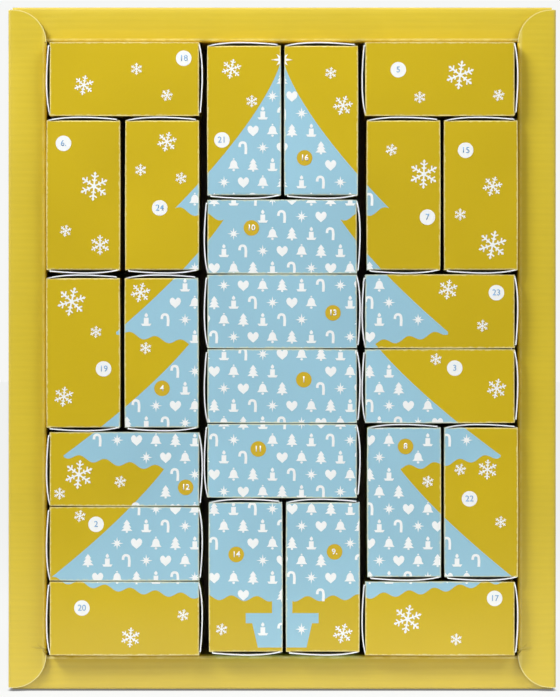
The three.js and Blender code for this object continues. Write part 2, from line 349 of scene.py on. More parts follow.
class Graph:
    """The nodes of a material or a world, with a method for each kind that is used."""

    def __init__(self, owner: bpy.types.Material | bpy.types.World) -> None:
        """Starts on the owner's own nodes."""
        owner.use_nodes = True
        self.owner = owner
        self.tree = owner.node_tree

    @classmethod
    def of(cls, name: str) -> Graph:
        """Starts a new material."""
        return cls(bpy.data.materials.new(name))

    def node(self, kind: str, **settings: object) -> bpy.types.Node:
        """Adds a node.

        Args:
            kind: Blender's type of the node, without its prefix.
            **settings: The node's own settings.

        Returns:
            The node.
        """
        node = self.tree.nodes.new(f"ShaderNode{kind}")
        for name, value in settings.items():
            setattr(node, name, value)
        return node

    def feed(self, node: bpy.types.Node, entry: int | str, value: object) -> None:
        """Links a socket to one of a node's inputs, or sets a constant there.

        Args:
            node: The node.
            entry: The input's number or name.
            value: The socket or the constant, where a colour comes without its alpha.
        """
        if isinstance(value, Socket):
            self.tree.links.new(value, node.inputs[entry])
        elif isinstance(value, tuple) and len(value) == 3 and node.inputs[entry].type == "RGBA":
            node.inputs[entry].default_value = (*value, 1.0)
        else:
            node.inputs[entry].default_value = value

    def run(self, node: bpy.types.Node, *values: object) -> Socket:
        """Feeds a node.

        Args:
            node: The node.
            *values: What its first inputs get, in order.

        Returns:
            Its first output.
        """
        for entry, value in enumerate(values):
            self.feed(node, entry, value)
        return node.outputs[0]

    def math(self, operation: str, *values: object) -> Socket:
        """Does one sum on numbers or sockets and returns the result's socket."""
        return self.run(self.node("Math", operation=operation), *values)

    def mix(self, share: object, first: object, second: object) -> Socket:
        """Mixes two colours.

        Args:
            share: How much there is of the second, from 0 to 1.
            first: The first colour.
            second: The second colour.

        Returns:
            The mixture.
        """
        node = self.node("Mix", data_type="RGBA")
        for entry, value in ((0, share), (6, first), (7, second)):
            self.feed(node, entry, value)
        return node.outputs[2]

    def scaled(self, vector: object, factor: object) -> Socket:
        """Returns a vector or a colour times a number."""
        node = self.node("VectorMath", operation="SCALE")
        self.feed(node, "Scale", factor)
        return self.run(node, vector)

    def stretched(self, vector: Socket, factors: tuple[float, float, float]) -> Socket:
        """Returns a vector with each part times its own factor."""
        return self.run(self.node("VectorMath", operation="MULTIPLY"), vector, factors)

    def place(self) -> Socket:
        """Returns the place on the object, in millimetres."""
        return self.scaled(self.node("TexCoord").outputs["Object"], 1 / MM)

    def attribute(self, name: str) -> Socket:
        """Returns a vector that the mesh carries."""
        return self.node("Attribute", attribute_name=name).outputs["Vector"]

    def split(self, vector: Socket) -> tuple[Socket, ...]:
        """Returns a vector's three parts."""
        node = self.node("SeparateXYZ")
        self.feed(node, 0, vector)
        return tuple(node.outputs)

    def speckle(self, vector: Socket, size: float, detail: float = 2.0) -> Socket:
        """Makes noise.

        Args:
            vector: The place.
            size: About how large its blotches are, in millimetres.
            detail: How many finer layers it has.

        Returns:
            The noise, around 0.5.
        """
        node = self.node("TexNoise")
        for entry, value in (("Vector", vector), ("Scale", 1 / size), ("Detail", detail)):
            self.feed(node, entry, value)
        return node.outputs["Fac"]

    def between(self, value: object, low: float, high: float, start: float, end: float) -> Socket:
        """Maps a value from one range to another and keeps it there."""
        return self.run(self.node("MapRange"), value, low, high, start, end)

    def within(self, x: Socket, half: Socket, z: Socket, low: object, high: float) -> Socket:
        """Says whether a spot lies near the picture's middle line and between two heights.

        Args:
            x: Its place across.
            half: How far aside it may lie.
            z: Its height.
            low: The lower height.
            high: The upper height.

        Returns:
            1 if it does, else 0.
        """
        inside = self.math("LESS_THAN", self.math("ABSOLUTE", x), half)
        above = self.math("GREATER_THAN", z, low)
        below = self.math("LESS_THAN", z, high)
        return self.math("MULTIPLY", inside, self.math("MULTIPLY", above, below))

    def bump(
        self, height: object, reach: float, strength: float, below: Socket | None = None
    ) -> Socket:
        """Turns a height from 0 to 1 into relief.

        Args:
            height: The height.
            reach: How high 1 stands, in millimetres.
            strength: How much of it shows.
            below: Relief that this one lies on.

        Returns:
            The normal's socket.
        """
        node = self.node("Bump")
        self.feed(node, "Strength", strength)
        self.feed(node, "Distance", reach * MM)
        self.feed(node, "Height", height)
        if below is not None:
            self.feed(node, "Normal", below)
        return node.outputs[0]

    def together(self, *shaders: bpy.types.Node) -> Socket:
        """Adds the light of two shaders and returns the result's socket."""
        return self.run(self.node("AddShader"), *(shader.outputs[0] for shader in shaders))

    def show(self, output: str, share: Socket, first: Socket, second: Socket) -> None:
        """Mixes two shaders and feeds them to the output node."""
        mixture = self.run(self.node("MixShader"), share, first, second)
        self.feed(self.tree.nodes[output], 0, mixture)

    def surface(self, **inputs: object) -> bpy.types.Material:
        """Feeds the principled shader.

        Args:
            **inputs: What its inputs get, by their names with underscores for spaces.

        Returns:
            The material.
        """
        for name, value in inputs.items():
            self.feed(self.tree.nodes["Principled BSDF"], name.replace("_", " "), value)
        return self.owner


@dataclass(frozen=True)
class Tier:
    """One layer of the fir's branches, which widens from its top to a scalloped hem."""

    top: float
    tips: float
    narrow: float
    wide: float
    droop: float
    curve: float = 1.4
    scallop: float = 1.3
    pitch: float = 12.5

    def covers(self, x: float, z: float) -> bool:
        """Says whether a point lies on the layer.

        Args:
            x: Its place across, in millimetres.
            z: Its height, in millimetres.

        Returns:
            True if it does.
        """
        if z > self.top:
            return False
        share = min(1.0, (self.top - z) / (self.top - self.tips))
        half = self.narrow + (self.wide - self.narrow) * share**self.curve
        sag = self.droop * (1 - (x / self.wide) ** 2)
        hem = self.tips - sag + self.scallop * math.cos(math.tau * x / self.pitch)
        return abs(x) < half and z > hem

    def mask(self, graph: Graph, x: Socket, z: Socket) -> Socket:
        """Says the same in nodes.

        Args:
            graph: The material's nodes.
            x: The place across the picture, in millimetres.
            z: The height, in millimetres.

        Returns:
            1 on the layer and 0 elsewhere.
        """
        share = graph.math("POWER", graph.between(z, self.tips, self.top, 1, 0), self.curve)
        half = graph.math("MULTIPLY_ADD", share, self.wide - self.narrow, self.narrow)
        ratio = graph.math("MULTIPLY", x, 1 / self.wide)
        square = graph.math("MULTIPLY", ratio, ratio)
        sag = graph.math("MULTIPLY_ADD", square, self.droop, self.tips - self.droop)
        wave = graph.math("COSINE", graph.math("MULTIPLY", x, math.tau / self.pitch))
        hem = graph.math("MULTIPLY_ADD", wave, self.scallop, sag)
        return graph.within(x, half, z, hem, self.top)


@dataclass(frozen=True)
class Bar:
    """A plain block of the picture: the fir's trunk and its tub."""

    bottom: float
    top: float
    half_bottom: float
    half_top: float

    def covers(self, x: float, z: float) -> bool:
        """Says whether a point lies on the block.

        Args:
            x: Its place across, in millimetres.
            z: Its height, in millimetres.

        Returns:
            True if it does.
        """
        share = (z - self.bottom) / (self.top - self.bottom)
        half = self.half_bottom + (self.half_top - self.half_bottom) * share
        return 0 < share < 1 and abs(x) < half

    def mask(self, graph: Graph, x: Socket, z: Socket) -> Socket:
        """Says the same in nodes, as 1 on the block and 0 elsewhere."""
        half = graph.between(z, self.bottom, self.top, self.half_bottom, self.half_top)
        return graph.within(x, half, z, self.bottom, self.top)


@dataclass(frozen=True)
class FirTree:
    """The picture that all the cartons make together: a light blue fir in a tub, on gold."""

    parts: tuple[Tier | Bar, ...] = (
        Tier(top=315, tips=239, narrow=0, wide=53, droop=7),
        Tier(top=252, tips=178, narrow=20, wide=82, droop=8),
        Tier(top=194, tips=117, narrow=33, wide=108, droop=9),
        Tier(top=134, tips=56, narrow=45, wide=115, droop=10),
        Bar(bottom=36, top=60, half_bottom=5, half_top=5),
        Bar(bottom=34, top=39, half_bottom=18, half_top=18),
        Bar(bottom=22, top=35, half_bottom=12, half_top=15),
    )

    def covers(self, x: float, z: float, margin: float = 0) -> bool:
        """Says whether a round spot lies on the fir.

        Args:
            x: Its place across, in millimetres.
            z: Its height, in millimetres.
            margin: Its radius.

        Returns:
            True if all of it does.
        """
        turns = range(8) if margin else range(1)
        spots = [
            (x + margin * math.cos(turn * math.tau / 8), z + margin * math.sin(turn * math.tau / 8))
            for turn in turns
        ]
        return all(any(part.covers(*spot) for part in self.parts) for spot in spots)

    def mask(self, graph: Graph, x: Socket, z: Socket) -> Socket:
        """Returns 1 on the fir and 0 elsewhere, in nodes."""
        masks = (part.mask(graph, x, z) for part in self.parts)
        return reduce(lambda one, other: graph.math("MAXIMUM", one, other), masks)


@dataclass(frozen=True)
class CartonSizes:
    """What a folding carton measures, in millimetres."""

    width: float = 36.6
    depth: float = 38.5
    length: float = 73.9
    board: float = 0.58
    crease: float = 0.6
    lid_rise: float = 1.83
    lid_peak: float = 11
    lid_setback: float = 0.1
    lid_end: float = 0.8
    tuck_gap: float = 0.8
    tuck_length: float = 11
    tuck_corner: float = 5
    flap_spacing: float = 7
    flap_clearance: float = 1.4
    flap_taper: float = 3
    crown: float = 0.2
    recess: float = 0.12
    barrel: float = 0.17
    lid_steps: int = 12
    tuck_crease: float = 0.6
    tuck_bend: float = 3.5
    tuck_radius: float = 0.45
    flap_crease: float = 0.9
    flap_radius: float = 0.54
    flap_play: float = 0.3
    grid_across: float = 8.5
    grid_along: range = range(-30, 31, 10)
    grid_edge: float = 1


SIZES = CartonSizes()


@dataclass(frozen=True)
class CartonFinish:
    """Printed folding boxboard: satin ink on the outside, with the picture on the front."""

    name: str
    base: Colour
    picture: FirTree
    bleed: float = 2.5

    def material(self) -> bpy.types.Material:
        """Makes the printed side.

        Returns:
            The material.
        """
        graph = Graph.of(self.name)
        place = graph.place()
        x, _, z = graph.split(place)
        across, depth, along = graph.split(graph.attribute("own"))
        front = graph.math("LESS_THAN", depth, self.bleed - SIZES.depth)
        picture = graph.mix(self.picture.mask(graph, x, z), GOLD, LIGHT_BLUE)
        ink = graph.mix(front, self.base, picture)
        cloud = graph.between(graph.speckle(place, 55, 1), 0.3, 0.7, 0.96, 1.03)
        grain = graph.between(graph.speckle(place, 0.35, 3), 0.25, 0.75, 0.965, 1.03)
        strength, _, _ = graph.split(graph.attribute("ink"))
        uneven = graph.math("MULTIPLY", strength, graph.math("MULTIPLY", cloud, grain))
        tone = graph.scaled(ink, uneven)
        side = graph.math("SUBTRACT", SIZES.width / 2, graph.math("ABSOLUTE", across))
        end = graph.math("SUBTRACT", SIZES.length / 2, graph.math("ABSOLUTE", along))
        # Painted highlight along the front creases, partly scuffed print: within a fraction of a
        # millimetre of the face's edges the ink turns pale yellow.
        near_front = graph.between(depth, 0.4 - SIZES.depth, 1.4 - SIZES.depth, 1, 0)
        edge = graph.math("MINIMUM", side, end)
        ragged = graph.between(graph.speckle(place, 2.2, 4), 0.3, 0.7, -0.35, 0.35)
        crease_distance = graph.math("ADD", edge, ragged)
        wear_and_highlight = graph.math("MULTIPLY", graph.between(crease_distance, 0.25, 0.8, 0.6, 0), near_front)
        rough = graph.between(graph.speckle(place, 1.4, 3), 0.3, 0.7, 0.3, 0.4)
        fibres = graph.bump(graph.speckle(graph.stretched(place, (1, 1, 0.6)), 0.22, 2), 0.02, 0.35)
        waves = graph.bump(graph.speckle(place, 26, 1), 0.5, 0.3, fibres)
        return graph.surface(
            Base_Color=graph.mix(wear_and_highlight, tone, shade(240, 232, 178)),
            Roughness=rough,
            Normal=waves,
            IOR=1.5,
            Coat_Weight=0.6,
            Coat_Roughness=0.2,
        )


@dataclass(frozen=True)
class BoardFinish:
    """Plain paper board with fine fibres, as the cartons' insides and cut edges."""

    name: str
    colour: Colour
    size: float = 0.6

    def material(self) -> bpy.types.Material:
        """Makes the board.

        Returns:
            The material.
        """
        graph = Graph.of(self.name)
        place = graph.place()
        fibre = graph.speckle(graph.stretched(place, (1, 0.5, 1)), self.size, 4)
        tone = graph.scaled(self.colour, graph.between(fibre, 0.3, 0.7, 0.92, 1.04))
        relief = graph.bump(fibre, 0.04, 0.4)
        return graph.surface(Base_Color=tone, Roughness=0.75, Normal=relief)


@dataclass(frozen=True)
class CorrugatedFinish:
    """The tray's printed side: gold on a liner through which the flutes show as fine lines.

    The flutes follow each other along `across`. The outer wall stands at `half` from `centre` on
    the axis, and the face is `rim` wide. The ears' arcs start at `ear_root` above and below
    `ear_middle`. The creases that pinch an ear's foot are given as height, slant and length. The
    painted highlight along the inner crease, partly scuffed print, the ears' light cut edge and the
    pinched creases show only in front of `front`.
    """

    name: str
    across: tuple[float, float, float]
    axis: int
    centre: float
    half: float
    rim: float
    ears: bool
    pitch: float = 3.3
    crease: float = 1.4
    front: float = -8.0
    ear: float = 16.4
    ear_root: float = 151.8
    ear_middle: float = 169.675
    pinches: tuple[tuple[float, float, float], ...] = ((18.6, 1.1, 4.5), (20.4, 0.12, 8.0))

    def _inwards(self, graph: Graph, parts: Sequence[Socket]) -> Socket:
        """Returns how far inside the outer wall a spot lies."""
        off = graph.math("ABSOLUTE", graph.math("SUBTRACT", parts[self.axis], self.centre))
        return graph.math("SUBTRACT", self.half, off)

    def _on_front(self, graph: Graph, parts: Sequence[Socket]) -> Socket:
        """Returns 1 towards the tray's front, and 0 behind it."""
        return graph.math("LESS_THAN", parts[1], self.front)

    def _ear_edge(self, graph: Graph, parts: Sequence[Socket]) -> Socket:
        """Says where the light cut edge of the quarter-round ears runs.

        Args:
            graph: The material's nodes.
            parts: The spot's x, y and z, in millimetres.

        Returns:
            How strongly it shows, from 0 to 1.
        """
        aside = graph.math("ABSOLUTE", parts[0])
        across = graph.math("SUBTRACT", self.half - self.rim + self.ear, aside)
        off = graph.math("ABSOLUTE", graph.math("SUBTRACT", parts[2], self.ear_middle))
        up = graph.math("SUBTRACT", off, self.ear_root)
        squares = [
            graph.math("POWER", graph.math("MAXIMUM", leg, 0.0), 2.0) for leg in (across, up)
        ]
        out = graph.math("SQRT", graph.math("ADD", *squares))
        edge = graph.between(out, self.ear - 0.55, self.ear - 0.25, 0, 0.75)
        return graph.math("MULTIPLY", edge, graph.math("GREATER_THAN", up, 0.0))

    def _highlight_and_edge(self, graph: Graph, parts: Sequence[Socket], place: Socket) -> Socket:
        """Says where the print turns pale: a painted highlight along the inner crease, partly
        scuffed print, and the ears' light cut edge.

        Args:
            graph: The material's nodes.
            parts: The spot's x, y and z, in millimetres.
            place: The same spot as one vector.

        Returns:
            How strongly the print turns pale there, from 0 to 1.
        """
        past = graph.math("SUBTRACT", self._inwards(graph, parts), self.rim - self.crease)
        # Painted highlight along the inner crease, partly scuffed print, stronger on the end rims.
        crease_line_strength = 0.3 if self.ears else 0.75
        highlight_and_edge = graph.between(graph.math("ABSOLUTE", past), 0.3, 0.9, crease_line_strength, 0)
        patchy = graph.between(graph.speckle(place, 5, 4), 0.35, 0.65, 0.25, 1)
        highlight_and_edge = graph.math("MULTIPLY", highlight_and_edge, patchy)
        if self.ears:
            highlight_and_edge = graph.math("MAXIMUM", highlight_and_edge, self._ear_edge(graph, parts))
        return graph.math("MULTIPLY", highlight_and_edge, self._on_front(graph, parts))

    def _pinched(self, graph: Graph, parts: Sequence[Socket]) -> Socket:
        """Says how far the board is pinched at the foot of the lower ears, where it was folded.

        Args:
            graph: The material's nodes.
            parts: The spot's x, y and z, in millimetres.

        Returns:
            The depth of the creases, from 0 to 1.
        """
        out = graph.math("SUBTRACT", graph.math("ABSOLUTE", parts[0]), self.half - self.rim)
        creases = []
        for height, slant, length in self.pinches:
            line = graph.math("MULTIPLY_ADD", out, slant, height)
            off = graph.math("ABSOLUTE", graph.math("SUBTRACT", parts[2], line))
            fading = graph.between(out, 0, length, 1, 0)
            creases.append(graph.math("MULTIPLY", graph.between(off, 0, 0.8, 1, 0), fading))
        deepest = graph.math("MAXIMUM", *creases)
        return graph.math("MULTIPLY", deepest, self._on_front(graph, parts))

    def material(self) -> bpy.types.Material:
        """Makes the printed liner.

        Returns:
            The material.
        """
        graph = Graph.of(self.name)
        place = graph.place()
        parts = graph.split(place)
        run = graph.node("VectorMath", operation="DOT_PRODUCT")
        graph.feed(run, 0, place)
        graph.feed(run, 1, self.across)
        drift = graph.between(graph.speckle(place, 40, 1), 0, 1, -0.6, 0.6)
        phase = graph.math("ADD", run.outputs["Value"], drift)
        wave = graph.math("COSINE", graph.math("MULTIPLY", phase, math.tau / self.pitch))
        flute = graph.math("MULTIPLY_ADD", wave, 0.5, 0.5)
        cloud = graph.between(graph.speckle(place, 60, 1), 0.3, 0.7, 0.965, 1.035)
        streak = graph.speckle(graph.stretched(place, (0.08, 1, 1.6)), 1.2, 3)
        line = graph.between(streak, 0.25, 0.75, 0.975, 1.02)
        dip = graph.between(flute, 0, 1, 0.985, 1.008)
        # Painted shade: the print darkens on the outer fold, which holds the lamps' highlight there
        # down.
        fold = graph.between(self._inwards(graph, parts), 0.4, 1.8, 0.87, 1)
        tone = graph.math("MULTIPLY", cloud, graph.math("MULTIPLY", line, dip))
        tone = graph.math("MULTIPLY", tone, fold)
        fine = graph.bump(graph.speckle(graph.stretched(place, (0.3, 1, 1.5)), 0.6, 3), 0.03, 0.35)
        ribs = graph.bump(flute, 0.05, 0.4, fine)
        dents = graph.bump(graph.speckle(place, 16, 2), 0.8, 0.3, ribs)
        if self.ears:
            even = graph.math("SUBTRACT", 1.0, self._pinched(graph, parts))
            dents = graph.bump(even, 1.0, 1.0, dents)
        highlight_and_edge = self._highlight_and_edge(graph, parts, place)
        # The print turns pale yellow along a painted highlight on the inner crease and on the ears'
        # light cut edge.
        return graph.surface(
            Base_Color=graph.mix(highlight_and_edge, graph.scaled(TRAY_GOLD, tone), shade(245, 234, 160)),
            Roughness=graph.between(graph.speckle(place, 3, 3), 0.3, 0.7, 0.38, 0.46),
            Normal=dents,
            IOR=1.5,
            Coat_Weight=0.9,
            Coat_Roughness=0.38,
            Coat_IOR=1.8,
        )


@dataclass(frozen=True)
class CutEdgeFinish:
    """The cut edge of corrugated board: two liners with the wavy medium between them, and painted
    shade in the hollows.
    """

    name: str
    front: float
    board: float
    pitch: float = 3.3

    def material(self) -> bpy.types.Material:
        """Makes the cut edge.

        Returns:
            The material.
        """
        graph = Graph.of(self.name)
        place = graph.place()
        _, y, z = graph.split(place)
        wave = graph.math("SINE", graph.math("MULTIPLY", z, math.tau / self.pitch))
        middle = graph.math("SUBTRACT", graph.math("SUBTRACT", y, self.front), self.board / 2)
        off_wave = graph.math(
            "ABSOLUTE", graph.math("SUBTRACT", middle, graph.math("MULTIPLY", wave, 0.42))
        )
        medium = graph.between(off_wave, 0.14, 0.24, 1, 0)
        liner = graph.between(graph.math("ABSOLUTE", middle), 0.5, 0.6, 0, 1)
        paper = graph.math("MAXIMUM", medium, liner)
        fibre = graph.between(graph.speckle(place, 0.5, 3), 0.3, 0.7, 0.85, 1.1)
        # Painted shade: where there is no paper, the hollows between the flutes take a dark brown.
        tone = graph.scaled(graph.mix(paper, shade(92, 70, 48), shade(205, 178, 140)), fibre)
        return graph.surface(
            Base_Color=tone, Roughness=0.85, Normal=graph.bump(paper, 0.4, 0.6)
        )


@dataclass(frozen=True)
class InkFinish:
    """A flat printing ink, with the board's grain in it."""

    name: str
    colour: Colour

    def material(self) -> bpy.types.Material:
        """Makes the ink.

        Returns:
            The material.
        """
        graph = Graph.of(self.name)
        place = graph.place()
        grain = graph.speckle(place, 0.35, 3)
        tone = graph.scaled(self.colour, graph.between(grain, 0.25, 0.75, 0.975, 1.01))
        relief = graph.bump(graph.speckle(place, 0.22, 2), 0.02, 0.3)
        return graph.surface(Base_Color=tone, Roughness=0.45, Normal=relief, IOR=1.45)


@dataclass(frozen=True)
class PouchFinish:
    """Kraft paper, creased by its filling and pressed into ribs along its seal."""

    name: str

    def material(self) -> bpy.types.Material:
        """Makes the paper.

        Returns:
            The material.
        """
        graph = Graph.of(self.name)
        place = graph.place()
        fibre = graph.speckle(graph.stretched(place, (1, 1, 0.35)), 0.5, 4)
        crumple = graph.node("TexVoronoi", feature="DISTANCE_TO_EDGE")
        graph.feed(crumple, "Vector", place)
        graph.feed(crumple, "Scale", 1 / 7)
        fold = graph.between(crumple.outputs["Distance"], 0, 0.25, 0, 1)
        tone = graph.scaled(KRAFT, graph.between(fibre, 0.3, 0.7, 0.88, 1.08))
        fine = graph.bump(fibre, 0.05, 0.4)
        return graph.surface(
            Base_Color=tone, Roughness=0.7, Normal=graph.bump(fold, 0.4, 0.35, fine)
        )


@dataclass
class CartonMaker:
    """Models one folding carton about its own middle, as a master for all the copies."""

    printed: bpy.types.Material
    inside: bpy.types.Material
    cut: bpy.types.Material
    sizes: CartonSizes = SIZES

    def model(self) -> bpy.types.Object:
        """Models the carton as one folded sheet: a sleeve, two lids and four dust flaps.

        Returns:
            The carton, with its front towards -Y and its own places as the attribute "own".
        """
        s = self.sizes
        half = s.width / 2
        end = s.length / 2
        work = Workpiece.block("carton", (-half, -s.depth, -end), (half, 0, end))
        for direction in ((0, 0, 1), (0, 0, -1)):
            work.pick_facing(direction)
            work.delete_faces()
        work.pick(Kind.EDGE, lambda p: abs(p.z) > end - NEAR)
        bpy.ops.mesh.select_all(action="INVERT")
        work.round(s.crease, 3)
        flap_low = -half + s.board + s.flap_clearance
        flap_high = half - 2 * s.board - s.tuck_gap - s.flap_play
        middle = (-s.grid_across, 0, s.grid_across)
        work.score(0, [-flap_high, flap_low, *middle, -flap_low, flap_high])
        work.score(2, [s.grid_edge - end, *s.grid_along, end - s.grid_edge])
        for side in (1, -1):
            self._fold_lid(work, side)
            self._fold_dust_flaps(work, side, flap_low, flap_high)
        obj = work.close()
        self._round_ends(Workpiece(obj))
        for material in (self.printed, self.inside, self.cut):
            obj.data.materials.append(material)
        move_corners(work.close(), self._crowned)
        work.open()
        work.thicken(s.board)
        obj = work.finish(40)
        move_corners(
            obj, lambda corner: Vector((corner.x, max(-s.depth, min(0, corner.y)), corner.z))
        )
        own = obj.data.attributes.new("own", "FLOAT_VECTOR", "POINT")
        own.data.foreach_set("vector", [part for corner in obj.data.vertices for part in corner.co])
        return obj

    def _fold_lid(self, work: Workpiece, side: int) -> None:
        """Draws a lid out from its hinge along its bow, and folds its tuck flap in.

        Args:
            work: The sleeve.
            side: 1 at the upper end and -1 at the lower one, whose hinge is on the other side.
        """
        s = self.sizes
        hinge = -s.width / 2 * side
        end = s.length / 2 * side
        middle = (0, -s.depth / 2, 0)
        work.pick(Kind.EDGE, lambda p: abs(p.x - hinge) < NEAR and abs(p.z - end) < NEAR)
        control = s.lid_rise + math.sqrt(s.lid_rise * (s.lid_rise - s.lid_end))
        fold = s.width / 2 - s.board - s.tuck_gap
        points = []
        for step in range(s.lid_steps + 1):
            t = step / s.lid_steps
            start, bend, stop = (1 - t) ** 2, 2 * t * (1 - t), t * t
            along = -s.width / 2 * start + bend * (s.lid_peak - s.width / 2) + stop * fold
            points.append((along, bend * control + stop * s.lid_end))
        full = (s.depth - 2 * s.lid_setback) / (s.depth - 2 * s.crease)
        for number, (start, stop) in enumerate(zip(points, points[1:])):
            work.extrude(((stop[0] - start[0]) * side, 0, (stop[1] - start[1]) * side))
            if number == 0:
                work.stretch((1, full, 1), middle)
        down = -side
        work.extrude((0, 0, s.tuck_crease * down))
        flap = (s.depth - 2 * s.board - 2 * s.tuck_gap) / (s.depth - 2 * s.lid_setback)
        work.stretch((1, flap, 1), middle)
        rest = s.tuck_length + s.lid_end - (s.tuck_crease + s.tuck_bend)
        work.extrude((0, 0, s.tuck_bend * down), (0, 0, rest * down))

    def _fold_dust_flaps(self, work: Workpiece, side: int, low: float, high: float) -> None:
        """Draws a dust flap in from the front and from the back, and tapers it.

        Args:
            work: The sleeve.
            side: 1 at the upper end and -1 at the lower one.
            low: Where the flap starts on the hinge's side.
            high: Where it ends on the tuck's side.
        """
        s = self.sizes
        end = s.length / 2 * side
        first, last = (low, high) if side == 1 else (-high, -low)
        reach = (s.depth - s.flap_spacing) / 2
        for wall, inwards in ((-s.depth, 1), (0, -1)):
            work.pick(
                Kind.EDGE,
                lambda p: abs(p.y - wall) < NEAR
                and abs(p.z - end) < NEAR
                and first - NEAR < p.x < last + NEAR,
            )
            rest = reach - s.flap_crease
            work.extrude((0, s.flap_crease * inwards, 0), (0, rest * inwards, 0))
            narrow = 1 - 2 * s.flap_taper / (last - first)
            work.stretch((narrow, 1, 1), ((first + last) / 2, 0, 0))

    def _round_ends(self, work: Workpiece) -> None:
        """Rounds the creases of the lids and dust flaps, and the tuck flaps' corners.

        Args:
            work: The folded sheet.
        """
        s = self.sizes
        end = s.length / 2
        fold = s.width / 2 - s.board - s.tuck_gap
        tip = end - s.tuck_length
        half_flap = (s.depth - 2 * s.board - 2 * s.tuck_gap) / 2
        work.pick(
            Kind.CORNER,
            lambda p: abs(abs(p.x) - fold) < NEAR
            and abs(abs(p.z) - tip) < NEAR
            and abs(abs(p.y + s.depth / 2) - half_flap) < NEAR,
        )
        work.round(s.tuck_corner, 5, corners=True)
        work.pick(
            Kind.EDGE,
            lambda p: (abs(p.y) < NEAR or abs(p.y + s.depth) < NEAR)
            and abs(abs(p.z) - end) < NEAR
            and abs(p.x) < s.width / 2 - s.crease - NEAR,
        )
        work.round(s.flap_radius, 3)
        work.pick(
            Kind.EDGE,
            lambda p: abs(abs(p.x) - fold) < NEAR and abs(abs(p.z) - end - s.lid_end) < NEAR,
        )
        work.round(s.tuck_radius, 3)

    def face_height(self, across: float, along: float) -> float:
        """Says how far the printed face lies behind the carton's foremost plane.

        Args:
            across: The place across the face, from its middle.
            along: The place along it, from its middle.

        Returns:
            The distance, in millimetres.
        """
        s = self.sizes
        u = min(1.0, abs(across) / (s.width / 2))
        v = min(1.0, abs(along) / (s.length / 2))
        return s.recess + s.crown * (1 - (1 - u * u) * (1 - v**4))

    def _crowned(self, corner: Vector) -> Vector:
        """Lets the front and the back spring out a little between their creases.

        Args:
            corner: A corner's place.

        Returns:
            Its new place.
        """
        s = self.sizes
        height = self.face_height(corner.x, corner.z)
        share = -corner.y / s.depth
        waist = 1 - s.barrel / (s.width / 2) * min(1.0, abs(corner.z) / (s.length / 2)) ** 2
        return Vector((corner.x * waist, corner.y + height * (2 * share - 1), corner.z))


@dataclass(frozen=True)
class Seat:
    """Where one carton stands, as the frame has it, in millimetres."""

    label: str
    x: float
    z: float
    back: float
    lying: bool
    turn: float

    @classmethod
    def of(cls, label: str, turn: float) -> Seat:
        """Reads a carton's seat from its CAD node.

        Args:
            label: The carton's two digits.
            turn: How far it sits askew, in degrees.

        Returns:
            The seat.
        """
        low, high = (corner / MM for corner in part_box(f"carton_{label}"))
        lying = high.x - low.x > high.z - low.z
        middle = (low + high) / 2
        return cls(label, middle.x, middle.z, high.y, lying, turn)

    @property
    def matrix(self) -> Matrix:
        """The move from a carton's own middle to its seat."""
        turned = Matrix.Rotation(math.radians(self.turn + (90 if self.lying else 0)), 4, "Y")
        return Matrix.Translation((self.x, self.back, self.z)) @ turned

    @property
    def half_across(self) -> float:
        """Half the face's extent in x."""
        return (SIZES.length if self.lying else SIZES.width) / 2

    @property
    def half_up(self) -> float:
        """Half the face's extent in z."""
        return (SIZES.width if self.lying else SIZES.length) / 2


class Motif(Enum):
    """The small white figures on the fir, drawn about their middles, in millimetres.

    Each is one or more closed outlines of (x, z, whether it is a sharp corner).
    """

    HEART = (
        (
            (0, -2.5, True), (-2.5, 0.5, False), (-1.3, 2.2, False),
            (0, 1.2, True), (1.3, 2.2, False), (2.5, 0.5, False),
        ),
    )
    BELL = (
        (
            (-2.5, -1.6, True), (-1.7, -0.5, False), (-1.4, 1.0, False), (0, 2.2, False),
            (1.4, 1.0, False), (1.7, -0.5, False), (2.5, -1.6, True),
        ),
        ((-0.6, -2.2, False), (0, -1.75, False), (0.6, -2.2, False), (0, -2.75, False)),
        ((-0.4, 2.65, False), (0, 3.0, False), (0.4, 2.65, False), (0, 2.35, False)),
    )
    FIR = (
        (
            (0, 2.9, True), (-1.5, 0.9, True), (-0.8, 0.9, True), (-2.0, -0.7, True),
            (-1.1, -0.7, True), (-2.5, -2.1, True), (-0.45, -2.1, True), (-0.45, -2.9, True),
            (0.45, -2.9, True), (0.45, -2.1, True), (2.5, -2.1, True), (1.1, -0.7, True),
            (2.0, -0.7, True), (0.8, 0.9, True), (1.5, 0.9, True),
        ),
    )
    CANDLE = (
        (
            (-1.05, 0.9, True), (-1.05, -1.7, True), (-2.3, -1.7, True), (-1.7, -2.7, True),
            (1.7, -2.7, True), (2.3, -1.7, True), (1.05, -1.7, True), (1.05, 0.9, True),
        ),
        ((0, 3.1, True), (-0.75, 1.9, False), (0, 1.2, False), (0.75, 1.9, False)),
    )
    CANE = (
        (
            (-2.2, 1.1, False), (-1.65, 2.4, False), (-0.3, 2.9, False), (1.05, 2.4, False),
            (1.6, 1.1, False), (1.6, -2.8, True), (0.45, -2.8, True), (0.45, 1.1, False),
            (0.25, 1.6, False), (-0.3, 1.8, False), (-0.85, 1.6, False), (-1.05, 1.1, True),
            (-1.05, 0.3, True), (-2.2, 0.3, True),
        ),
    )
    STAR = (
        tuple(
            (reach * math.sin(n * math.tau / 16), reach * math.cos(n * math.tau / 16), True)
            for n, reach in enumerate((2.8, 0.95, 2.1, 0.95) * 4)
        ),
    )


